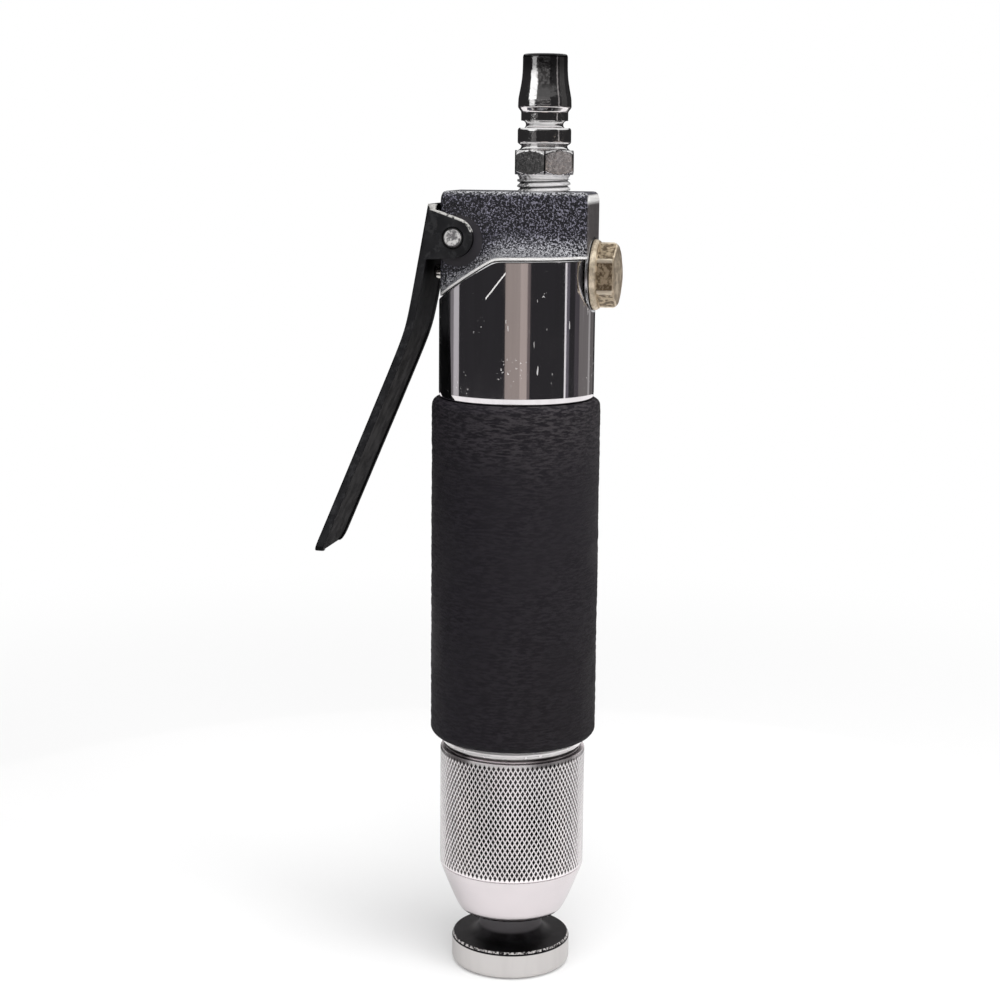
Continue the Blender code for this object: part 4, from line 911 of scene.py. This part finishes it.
def makeHead(finish):
    corner, span = headShape["corner"], headHigh.x - headLow.x
    near = [corner * (1 - cos(pi / 2 * step / 8)) for step in range(9)]
    middle = np.linspace(corner, span - corner, 61)[1:-1]
    places = [*near, *middle, *[span - distance for distance in reversed(near)]]
    piece = lofted("headCasting", [headSection(headLow.x + distance) for distance in places])
    inner, spigotTop = spigot["radius"], ledge["top"] + spigot["rise"]
    lower = turned("spigot", [
        (0, headLow.z), (inner, headLow.z), *ringGroove("head_o_ring"), (inner, spigotTop), (0, spigotTop),
    ], 96)
    cut(piece, [lower], "UNION")
    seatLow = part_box("valve_seat")[0].x - seatGap
    chamber, length, stem, bush = pick(headShape, "chamber chamberLength stem stemBore")
    lip = seatLow - length
    lipLow = lip - headShape["lip"]
    bores = turned("valveBore", [
        (0, 2 * headLow.x), (bush, 2 * headLow.x), (bush, lipLow), (stem, lipLow), (stem, lip),
        (chamber, lip), (chamber, seatLow), *mouthOutline(seatLow),
    ], 72, "x", valveLine)
    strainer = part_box("inlet_strainer")
    flange, above = strainer[1].z - headShape["strainerRim"] - seatGap, headHigh.z + corner
    inletSeat, duct, pinHole, earSeat = pick(headShape, "inletSeat duct pinHole seatRadius")
    inlet = turned("inlet", [
        (0, valveZ), (chamber, valveZ), (chamber, flange), (inletSeat, flange), (inletSeat, above),
        (0, above),
    ], 72, "z", (plugX, 0, 0))
    ducts = rod("duct", duct, headLow.z - 1 * mm, valveZ, 36, "z", (seatLow - length / 2, 0, 0))
    seat = headShape["half"] - headShape["seatDepth"]
    seats = [
        rod("earSeat" + side, earSeat, low, high, 96, "y", pivot)
        for side, low, high in (("Near", -2 * seat, -seat), ("Far", seat, 2 * seat))
    ]
    cut(piece, [bores, inlet, ducts, *seats, rod("pinHole", pinHole, -seat * 2, seat * 2, 48, "y", pivot)])
    return finished(piece, "housing", ["head_casting"], finish)


# throttle lever

lever = {
    "thick": 1.8 * mm, "lip": 0.4 * mm, "standoff": 7.9 * mm, "half": 10.8 * mm, "corner": 2.6 * mm,
    "upper": tan(radians(10.2)), "lower": tan(radians(23.1)), "bend": 23.0 * mm, "blend": 4.0 * mm,
    "ear": 5.0 * mm, "earDrop": 5.2 * mm, "touch": 71, "bendRound": 1.3 * mm, "edgeRound": 0.3 * mm,
}


def leverBlack():
    oxide = Finish("leverBlack", (0.012, 0.012, 0.013), Roughness=0.55, Specular_IOR_Level=0.02)
    x, y, z = oxide.place.parts()
    px, pz, away = x - pivotX, z - pivotZ, abs(y) - lever["half"]
    cloudy = oxide.noise(260, 4).ramp(0.35, 0.7)
    grain = oxide.noise(2600, 2)
    outside = away.ramp(-0.4 * mm, -0.1 * mm)
    scuffs = oxide.noise(420, 5, 0.65).ramp(0.50, 0.62) * outside
    # painted shade: the sheet's inner faces are painted darker than its outer faces
    inner = oxide.mix(cloudy, (0.0040, 0.0040, 0.0046), (0.0060, 0.0060, 0.0066))
    outer = oxide.mix(cloudy, (0.0120, 0.0120, 0.0130), (0.0175, 0.0175, 0.0185))
    # painted highlight: a lighter band on the inner face below the push pin
    paintedSoftHighlight = pz.ramp(-28 * mm, -20 * mm) * pz.fall(-11 * mm, -8 * mm)
    inner = oxide.mix(paintedSoftHighlight, inner, (0.030, 0.030, 0.032))
    scuffed = oxide.mix(scuffs * 0.3, oxide.mix(outside, inner, outer), (0.050, 0.050, 0.052))
    rounds = [px * cos(radians(angle)) + pz * sin(radians(angle)) for angle in (lever["touch"], 48, 25)]
    border = rounds[0].atLeast(rounds[1]).atLeast(rounds[2])
    # the ear's edge above the pivot: rubbed bare metal, and a painted highlight along its top
    rubbed = (border - lever["ear"]).ramp(-0.55 * mm, -0.30 * mm) * (pz > 1.5 * mm)
    rubbed = rubbed * oxide.noise(900, 4).ramp(0.34, 0.5) * (away > -lever["thick"])
    return oxide.set(
        Base_Color=oxide.mix(rubbed, scuffed, (0.55, 0.54, 0.52)),
        Metallic=rubbed * 0.3,
        Roughness=0.50 + cloudy * 0.14,
        Normal=oxide.bump(grain * 0.5 + cloudy * 0.5, 0.25, 0.05 * mm),
    )


def leverFace(height):                  # outer face of the sheet, bent once below the pivot
    past = -lever["bend"] - height
    bent = (past + sqrt(past * past + lever["blend"] ** 2)) / 2
    return -lever["standoff"] + lever["upper"] * height - (lever["lower"] - lever["upper"]) * bent


def leverSection(height, drop):
    slope = (leverFace(height + 0.5 * mm) - leverFace(height - 0.5 * mm)) / mm
    outside = leverFace(height)
    inside = outside + lever["thick"] * sqrt(1 + slope * slope)
    edge = inside + lever["lip"]
    ear, corner, touch = lever["ear"], lever["corner"], radians(lever["touch"])
    if -lever["earDrop"] <= height <= ear * sin(touch):
        edge = max(sqrt(max(ear ** 2 - height ** 2, 0)), edge)
    elif height > ear * sin(touch):
        edge = max(ear * cos(touch) - (height - ear * sin(touch)) * tan(touch), edge)
    half, low = lever["half"], height + drop
    if low < corner:
        half -= corner - sqrt(corner ** 2 - (corner - low) ** 2)
    wall = half - lever["thick"]
    bent, fine = pick(lever, "bendRound edgeRound")
    loop = softLoop([
        (outside, -half, bent), (outside, half, bent), (edge, half, fine), (edge, wall, fine),
        (inside, wall, fine), (inside, -wall, fine), (edge, -wall, fine), (edge, -half, fine),
    ], 5, 0.15 * mm)
    return [(pivotX + px, py, pivotZ + height) for px, py in loop]


def makeLever(finish):
    drop, top = pivotZ - leverLow.z, leverHigh.z - pivotZ
    corner, earLow, fromEar = lever["corner"], -lever["earDrop"], 0.15 * mm
    heights = [-drop + corner * (1 - cos(pi / 2 * step / 16)) for step in range(17)]
    heights += [*np.arange(-drop + corner + 0.8 * mm, earLow - 0.5 * mm, 0.8 * mm)]
    heights += [earLow - fromEar, earLow + fromEar]
    heights += [lever["ear"] * sin(radians(angle)) for angle in np.linspace(-80, lever["touch"], 40)]
    heights += [*np.linspace(lever["ear"], top, 8)[1:]]
    piece = lofted("throttleLever", [leverSection(height, drop) for height in heights])
    cut(piece, [rod("leverHole", headShape["pinHole"], -0.05, 0.05, 64, "y", pivot)])
    return finished(piece, "lever", ["throttle_lever"], finish)


# lever pin, push pin and its bush

pins = {"foot": 0.5 * mm, "bushBore": 2.05 * mm, "bushShank": 3.4 * mm, "bushFlange": 0.6 * mm}


def pinSteel():                         # dented ends with a dark rim
    steel = Finish("pinSteel", (0.8, 0.79, 0.77), Metallic=0.6, Roughness=0.35)
    dents = steel.noise(900, 4, 0.6)
    x, y, z = steel.place.parts()
    rim = fromAxis(x - pivotX, z - pivotZ).ramp(2.05 * mm, 2.25 * mm)
    mottled = steel.mix(dents.ramp(0.42, 0.60), (0.20, 0.195, 0.20), (0.80, 0.79, 0.78))
    return steel.set(
        Base_Color=steel.mix(rim, mottled, (0.02, 0.02, 0.021)),
        Roughness=0.30 + dents * 0.2,
        Normal=steel.bump(dents, 0.8, 0.3 * mm),
    )


def makePins(ends, nickel, brass):
    half, foot = pinHigh.y, pins["foot"]
    radius = (pinHigh.x - pinLow.x) / 2
    face = radius - 0.6 * mm
    dimple = [(0, -half + 0.12 * mm), (face * 0.4, -half + 0.1 * mm, 0.2 * mm), (face * 0.7, -half, 0.3 * mm)]
    near = [*dimple, (face, -half, 0.2 * mm), (face, -half + foot), (radius, -half + foot)]
    far = [(spot[0], -spot[1], *spot[2:]) for spot in reversed(near)]
    pin = turned("leverPin", softOutline(near + far), 64, "y", pivot)
    finished(pin, "housing", ["lever_pin"], ends)
    pushLow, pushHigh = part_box("push_pin")
    radius = pushHigh.y
    push = turned("pushPin", softOutline([
        (0, pushLow.x), (radius - foot, pushLow.x, 0.3 * mm), (radius, pushLow.x + foot, 0.3 * mm),
        (radius, pushHigh.x), (0, pushHigh.x),
    ]), 48, "x", valveLine)
    finished(push, "throttle", ["push_pin"], nickel)
    low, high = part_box("stem_bush")
    bore, shank, flange = pins["bushBore"], pins["bushShank"], low.x + pins["bushFlange"]
    bush = turned("stemBush", softOutline([
        (bore, low.x + 1 * mm), (bore, low.x, 0.1 * mm), (high.y, low.x, 0.2 * mm), (high.y, flange),
        (shank, flange), (shank, high.x), (bore, high.x),
    ]), 64, "x", valveLine)
    finished(bush, "housing", ["stem_bush"], brass)


# valve cap and its washer

bolt = {
    "low": boltLow.x + 12.4 * mm, "high": boltLow.x + 16.9 * mm, "flats": 14.0 * mm, "flange": 8.7 * mm,
    "flangeLow": boltLow.x + 11.0 * mm, "flangeThick": 0.8 * mm, "hollow": 4.4 * mm, "hollowDepth": 7.0 * mm,
    "thread": 6.1 * mm, "threadDepth": 0.4 * mm, "pitch": 1.5 * mm, "relief": 0.4 * mm, "rows": 60,
    "chamfer": 0.6 * mm, "washerBore": 6.7 * mm,
    # the end: shares of the corners' radius and then of the flats, each with its mm above the sides
    "crown": ((1.0, -1.0), (0.975, -0.62), (0.935, -0.25), (0.895, -0.02), (0.86, 0.0)),
    "dome": ((0.30, 0.55), (0.15, 0.88), (0.0, 1.0)),
}


def hexagonEdges(across, along, angle, low, high):       # 1 along a hexagon's edges; a flat faces the angle
    angles = [radians(angle + 60 * side) for side in range(3)]
    flats = [abs(across * cos(way) + along * sin(way)) for way in angles]
    largest = flats[0].atLeast(flats[1]).atLeast(flats[2])
    smallest = flats[0].atMost(flats[1]).atMost(flats[2])
    return (largest * 2 + smallest - flats[0] - flats[1] - flats[2]).fall(low, high)


def yellowZinc():
    zinc = Finish("yellowZinc", (0.72, 0.56, 0.33), Metallic=1.0, Roughness=0.36)
    x, y, z = zinc.place.parts()
    flats = x.band(bolt["low"] + 0.15 * mm, bolt["high"] - 0.35 * mm, 0.15 * mm)
    pebbles = zinc.noise(1300, 4, 0.65)
    patches = zinc.noise(900, 4, 0.6).ramp(0.40, 0.58)
    mottled = zinc.mix(patches, (0.56, 0.45, 0.31), (0.17, 0.125, 0.078))
    # pale lines along the hex's edges: worn edges, and a painted highlight
    edges = hexagonEdges(y, z - valveZ, -60, 0.35 * mm, 0.75 * mm)
    mottled = zinc.mix(edges, mottled, (0.85, 0.75, 0.60))
    smooth = zinc.mix(zinc.noise(380, 4, 0.6).ramp(0.38, 0.60), (0.82, 0.71, 0.55), (0.46, 0.375, 0.27))
    return zinc.set(
        Base_Color=zinc.mix(flats, smooth, mottled),
        Metallic=0.75 + flats * 0.2,
        Roughness=0.34 + patches * 0.10,
        Normal=zinc.bump(pebbles * (0.3 + flats * 0.7), 0.6, 0.25 * mm),
    )


def makeBolt(zinc, steel):
    end, (start, head, top) = boltLow.x, pick(bolt, "flangeLow low high")
    flange, flats, thread, hollow = pick(bolt, "flange flats thread hollow")
    corners, relief, chamfer = flats / sqrt(3), thread - bolt["relief"], bolt["chamfer"]
    deep, threadHigh = end + bolt["hollowDepth"], start - 1.0 * mm
    outline = [(0, deep), (hollow, deep), (hollow, end), (thread - chamfer, end)]
    outline += [(thread, height) for height in np.linspace(end + chamfer, threadHigh, bolt["rows"] + 1)]
    outline += softOutline([
        (relief, start - 0.6 * mm), (relief, start), (flange, start, 0.1 * mm),
        (flange, start + bolt["flangeThick"], 0.3 * mm), (corners + 0.2 * mm, head, 0.2 * mm),
        (corners * 0.985, head + 0.15 * mm),
    ])
    outline.append((corners, head + 0.4 * mm))
    outline += [(corners * share, top + rise * mm) for share, rise in bolt["crown"]]
    outline += [(flats * share, top + rise * mm) for share, rise in bolt["dome"]]
    sixSided = hexagon(flats, 0.0, head + 0.01 * mm, boltHigh.x)
    shape = threaded(thread, threadHigh, bolt["threadDepth"], bolt["pitch"], elsewhere=sixSided)
    piece = turned("valveCapBolt", outline, 144, "x", valveLine, shape)
    finished(piece, "housing", ["valve_cap"], zinc)
    radius, bore, low, high = washerHigh.y, bolt["washerBore"], washerLow.x, washerHigh.x
    washer = turned("boltWasher", softOutline([
        (bore, (low + high) / 2), (bore, low), (radius, low, 0.15 * mm), (radius, high, 0.15 * mm),
        (bore, high), (bore, high - 0.2 * mm),
    ]), 128, "x", valveLine)
    finished(washer, "housing", ["valve_cap_washer"], steel)


# valve spring: a round-wire coil

spring = {"wire": 0.4 * mm, "turns": 5, "dead": 0.15, "steps": 28, "sides": 10, "travel": 1.6 * mm}


def makeSpring(finish):
    low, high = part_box("valve_spring")
    wire, dead, count = spring["wire"], spring["dead"], spring["turns"] * spring["steps"]
    closed = wire * 1.65                # length of a dead end turn
    first, last = low.x + wire, high.x - wire
    coil = high.y - wire
    sections = []
    for step in range(count + 1):
        share = step / count
        angle = 2 * pi * spring["turns"] * share
        if share < dead:
            along = first + closed * share / dead
        elif share > 1 - dead:
            along = last - closed * (1 - share) / dead
        else:
            along = first + closed + (last - first - 2 * closed) * (share - dead) / (1 - 2 * dead)
        section = []
        for side in range(spring["sides"]):
            around = 2 * pi * side / spring["sides"]
            reach = coil + wire * cos(around)
            section.append((along + wire * sin(around), reach * cos(angle), valveZ + reach * sin(angle)))
        sections.append(section)
    piece = lofted("valveSpring", sections)
    finished(piece, "housing", ["valve_spring"], finish, sharp=60)
    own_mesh(piece)


# air plug

plug = {
    "bore": 3.6 * mm, "thread": 6.58 * mm, "threadDepth": 0.75 * mm, "pitch": 1.337 * mm, "relief": 1.2 * mm,
    "flats": 14.4 * mm, "edge": 1.1 * mm, "hexAngle": -78,
    # radii
    "root": 6.1 * mm, "underHex": 6.5 * mm, "neckSide": 5.6 * mm, "collarSide": 6.6 * mm,
    "waistSide": 5.75 * mm, "waistDepth": 1.15 * mm, "ringSide": 5.8 * mm, "tip": 5.5 * mm,
    # heights above the head
    "hexLow": 4.1 * mm, "hexHigh": 10.0 * mm, "neck": 11.4 * mm, "collar": 15.4 * mm, "waist": 17.0 * mm,
    "ring": 19.3 * mm, "taper": 28.1 * mm,
}


def plugChrome():
    plate = Finish("plugChrome", (0.80, 0.80, 0.81), Metallic=1.0, Roughness=0.08)
    x, y, z = plate.place.parts()
    mottle = plate.noise(520, 3, 0.6)
    fine = plate.noise(1300, 3, 0.6)
    above, across, sideways = z - headHigh.z, x - plugX, toTheRight(x - plugX, y)
    thread = above.fall(plug["hexLow"] - 0.2 * mm, plug["hexLow"] + 0.2 * mm)
    hexagonal = above.band(plug["hexLow"] - 0.1 * mm, plug["hexHigh"] + 0.1 * mm, 0.3 * mm)
    rubbed = sideways.ramp(-2.6 * mm, -1.8 * mm) * sideways.fall(1.0 * mm, 2.4 * mm) * (y < 0.0)
    rubbed = rubbed * above.ramp(24 * mm, 26 * mm)
    patches = (rubbed * 0.7 + hexagonal * 0.35 + 0.08).atMost(1.0)
    coloured = plate.mix(fine.ramp(0.36, 0.60) * patches, (0.86, 0.85, 0.85), (0.20, 0.19, 0.19))
    # painted shade: dark lines along the hex's corners
    edges = hexagonEdges(across, y, plug["hexAngle"] + 30, 0.12 * mm, 0.30 * mm)
    roots = fromAxis(across, y).fall(5.95 * mm, 6.25 * mm) * above.fall(3.0 * mm, 3.2 * mm)
    # darker patches on the thread's left side
    leftThreadPatches = sideways.fall(-4.2 * mm, -2.6 * mm) * fine.ramp(0.45, 0.55) * thread
    # painted shade: the top 0.6 mm of the plug is painted dark, against the sky's reflection
    mouth = (z - plugHigh.z).ramp(-0.9 * mm, -0.6 * mm)
    # painted shade: the upper taper is painted darker
    upper = above.ramp(26.5 * mm, 31.5 * mm)
    dark = (edges * hexagonal + roots * 0.85 + leftThreadPatches * 0.8 + mouth * 0.85 + upper * 0.6).atMost(1.0)
    # painted reflection: the front of the waist groove is less metallic, so it shows bright
    waist = above.band(15.7 * mm, 16.9 * mm, 0.2 * mm) * sideways.band(-4.0 * mm, 2.8 * mm, 0.6 * mm)
    return plate.set(
        Base_Color=plate.mix(dark, coloured, (0.035, 0.034, 0.035)),
        Metallic=1 - thread * 0.65 - waist * 0.7,
        Roughness=0.07 + patches * 0.07 + thread * 0.22,
        Normal=plate.bump(mottle + fine * 0.6, 0.28, 0.10 * mm),
    )


def makePlug(finish):
    bore, thread, flats, edge = pick(plug, "bore thread flats edge")
    corners, end, top = flats / sqrt(3), plugLow.z, plugHigh.z
    levels = pick(plug, "hexLow hexHigh neck collar waist ring taper")
    hexLow, hexHigh, neck, collar, waist, ring, taper = [headHigh.z + level for level in levels]
    relief = hexLow - plug["relief"]
    rows = int((relief - end) / plug["pitch"] * 16)
    outline = [(bore, end + 5 * mm), (bore, end), (thread - 0.8 * mm, end)]
    outline += [(thread, height) for height in np.linspace(end, relief, rows + 1)]
    root, underHex, neckSide, collarSide = pick(plug, "root underHex neckSide collarSide")
    waistSide, waistDepth, ringSide, tip = pick(plug, "waistSide waistDepth ringSide tip")
    outline += softOutline([
        (root, relief + 0.05 * mm), (root, relief + 0.4 * mm, 0.2 * mm),
        (underHex - 0.05 * mm, hexLow - 0.3 * mm, 0.2 * mm), (underHex, hexLow - 0.05 * mm),
    ])
    shares = [step / 6 for step in range(7)]
    crown = [(corners + (flats / 2 - corners) * (1 - share) ** 1.6, edge * share) for share in shares]
    outline += [(radius, hexLow + height) for radius, height in crown]
    outline += [(radius, hexHigh - height) for radius, height in reversed(crown)]
    outline += softOutline([
        (underHex, hexHigh + 0.01 * mm), (neckSide + 0.3 * mm, hexHigh + 0.35 * mm, 0.3 * mm),
        (neckSide, neck - 0.3 * mm, 0.3 * mm), (collarSide - 0.5 * mm, neck, 0.2 * mm),
        (collarSide, neck + 0.4 * mm, 0.3 * mm), (collarSide, collar - 0.4 * mm, 0.3 * mm),
        (collarSide - 0.3 * mm, collar, 0.3 * mm),
    ])
    middle, half = (collar + waist) / 2, (waist - collar) / 2 + 0.15 * mm
    outline += [
        (waistSide - waistDepth * cos(angle) ** 0.8, middle + half * sin(angle))
        for angle in np.linspace(-pi / 2 + 0.08, pi / 2 - 0.08, 15)
    ]
    outline += softOutline([
        (ringSide, waist + 0.2 * mm), (ringSide, ring, 0.3 * mm), (collarSide, ring + 1.1 * mm, 0.25 * mm),
        (collarSide - 0.08 * mm, ring + 3.2 * mm, 0.5 * mm), (tip + 0.05 * mm, taper - 0.5 * mm, 3.0 * mm),
        (tip, top - 0.4 * mm, 0.4 * mm), (tip - 0.4 * mm, top, 0.4 * mm), (bore + 0.4 * mm, top, 0.2 * mm),
        (bore, top - 0.4 * mm, 0.2 * mm), (bore, top - 10 * mm),
    ], 8)
    sixSided = hexagon(flats, plug["hexAngle"], hexLow - 0.001 * mm, hexHigh + 0.001 * mm)
    shape = threaded(thread, relief, plug["threadDepth"], plug["pitch"], 0.2, 0.55, sixSided)
    piece = turned("couplerPlug", outline, 144, "z", (plugX, 0, 0), shape)
    return finished(piece, "housing", ["coupler_plug"], finish, sharp=30)


# cylinder: its front flange shows as a bright ring, its threaded nose when the cap comes off

cylinder = {
    "flangeThick": 1.8 * mm, "chamfer": 0.5 * mm, "nose": 14.8 * mm, "noseBore": 6.8 * mm, "bore": 9.0 * mm,
    "pitch": 1.5 * mm, "threadDepth": 0.6 * mm, "threadLength": 18 * mm, "bushFlange": 2.5 * mm,
    "port": 1.6 * mm, "portRise": 52 * mm, "dowel": 1.35 * mm,
}


def makeCylinder(finish):
    low, high, reach, inner = cylinderLow.z, cylinderHigh.z, cylinderHigh.x, spigot["radius"]
    flange = barrelLow.z - seatGap
    flangeLow, chamfer = flange - cylinder["flangeThick"], cylinder["chamfer"]
    nose, noseBore, bore = pick(cylinder, "nose noseBore bore")
    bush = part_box("guide_bush")[1].z - cylinder["bushFlange"] - seatGap
    threadHigh = low + cylinder["threadLength"]
    rows = int((threadHigh - low) / cylinder["pitch"] * 12)
    outline = [(noseBore, low), (nose - chamfer, low)]
    outline += [(nose, height) for height in np.linspace(low + chamfer, threadHigh, rows + 1)]
    outline += softOutline([
        (nose - 0.01 * mm, threadHigh + 0.5 * mm), (nose - 0.01 * mm, flangeLow),
        (reach - chamfer, flangeLow, 0.1 * mm), (reach, flangeLow + chamfer, 0.2 * mm),
        (reach, flange - chamfer, 0.2 * mm), (reach - chamfer, flange, 0.1 * mm), (inner, flange),
        *ringGroove("cylinder_o_ring"), (inner, high), (bore, high), (bore, bush), (noseBore, bush),
    ])
    shape = threaded(nose, threadHigh, cylinder["threadDepth"], cylinder["pitch"])
    piece = turned("frontCylinder", outline, 144, shape=shape)
    portLine = (0, 0, flange + cylinder["portRise"])
    port = rod("exhaustPort", cylinder["port"], -0.03, 0.03, 24, "y", portLine)
    dowelLow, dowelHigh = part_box("dowel_pin")
    middle = (dowelLow + dowelHigh) / 2
    dowelLine = (middle.x, middle.y, 0)
    dowel = rod("dowelHole", cylinder["dowel"], dowelLow.z - 0.6 * mm, high + 1 * mm, 24, "z", dowelLine)
    cut(piece, [port, dowel])
    return finished(piece, "housing", ["cylinder"], finish)


# finishes that several pieces share

def turnedMetal(name, colour, roughness, across="z", pitch=0.25 * mm, metallic=1.0):
    metal = Finish(name, colour, Metallic=metallic, Roughness=roughness)
    axis = metal.place.parts()["xyz".index(across)]
    lines = (axis * (2 * pi / pitch) + metal.noise(260) * 4).sine()
    cloud = metal.noise(350, 4).ramp(0.3, 0.7)
    darker = tuple(value * 0.82 for value in colour)
    return metal.set(
        Base_Color=metal.mix(cloud, colour, darker),
        Roughness=roughness * 0.85 + cloud * 0.12,
        Normal=metal.bump(lines + cloud, 0.08, 0.02 * mm),
    )


def softMaterial(name, colour, roughness, subsurface=0.0):
    soft = Finish(name, colour, Roughness=roughness)
    if subsurface:
        soft.shader.inputs["Subsurface Weight"].default_value = subsurface
        soft.shader.inputs["Subsurface Scale"].default_value = 2 * mm
    grain = soft.noise(1800, 3)
    lighter = tuple(min(1.0, value * 1.5) for value in colour)
    return soft.set(
        Base_Color=soft.mix(grain.ramp(0.4, 0.7), colour, lighter),
        Roughness=roughness - 0.05 + grain * 0.1,
        Normal=soft.bump(grain, 0.2, 0.05 * mm),
    )


nickel = turnedMetal("nickelPlate", (0.72, 0.70, 0.66), 0.2, "y", 0.12 * mm)
brass = turnedMetal("turnedBrass", (0.74, 0.56, 0.28), 0.3)
ground = turnedMetal("groundSteel", (0.60, 0.60, 0.61), 0.25)
bright = turnedMetal("brightSteel", (0.90, 0.89, 0.88), 0.2)
rubber = softMaterial("nitrileRubber", (0.012, 0.012, 0.012), 0.6)
urethane = softMaterial("castUrethane", (0.45, 0.24, 0.05), 0.45, 0.2)

makeSet(setSteel())
makeCap(knurledSatin())
makeGrip(foamSkin())
makeBarrel(chromePlate())
makeHead(crinklePaint())
makeLever(leverBlack())
makePins(pinSteel(), nickel, brass)
makeBolt(yellowZinc(), ground)
makeSpring(ground)
makePlug(plugChrome())
makeCylinder(turnedMetal("flangeSteel", (0.92, 0.90, 0.90), 0.2, metallic=0.45))

carried = {                              # finishes of the solids that keep their own mesh
    "satin_steel": bright, "nickel": nickel, "brass": brass, "seal_black": rubber,
    "urethane_amber": urethane, "spring_steel": ground,
}
slots = {row["node"]: row["material_slot"] for row in frame["record"]["subparts"]}
for name, node in frame["nodes"].items():
    if slots[name] in carried:
        node.data.materials.clear()
        node.data.materials.append(carried[slots[name]].material)

view = bpy.context.scene.view_settings
view.view_transform = "Standard"
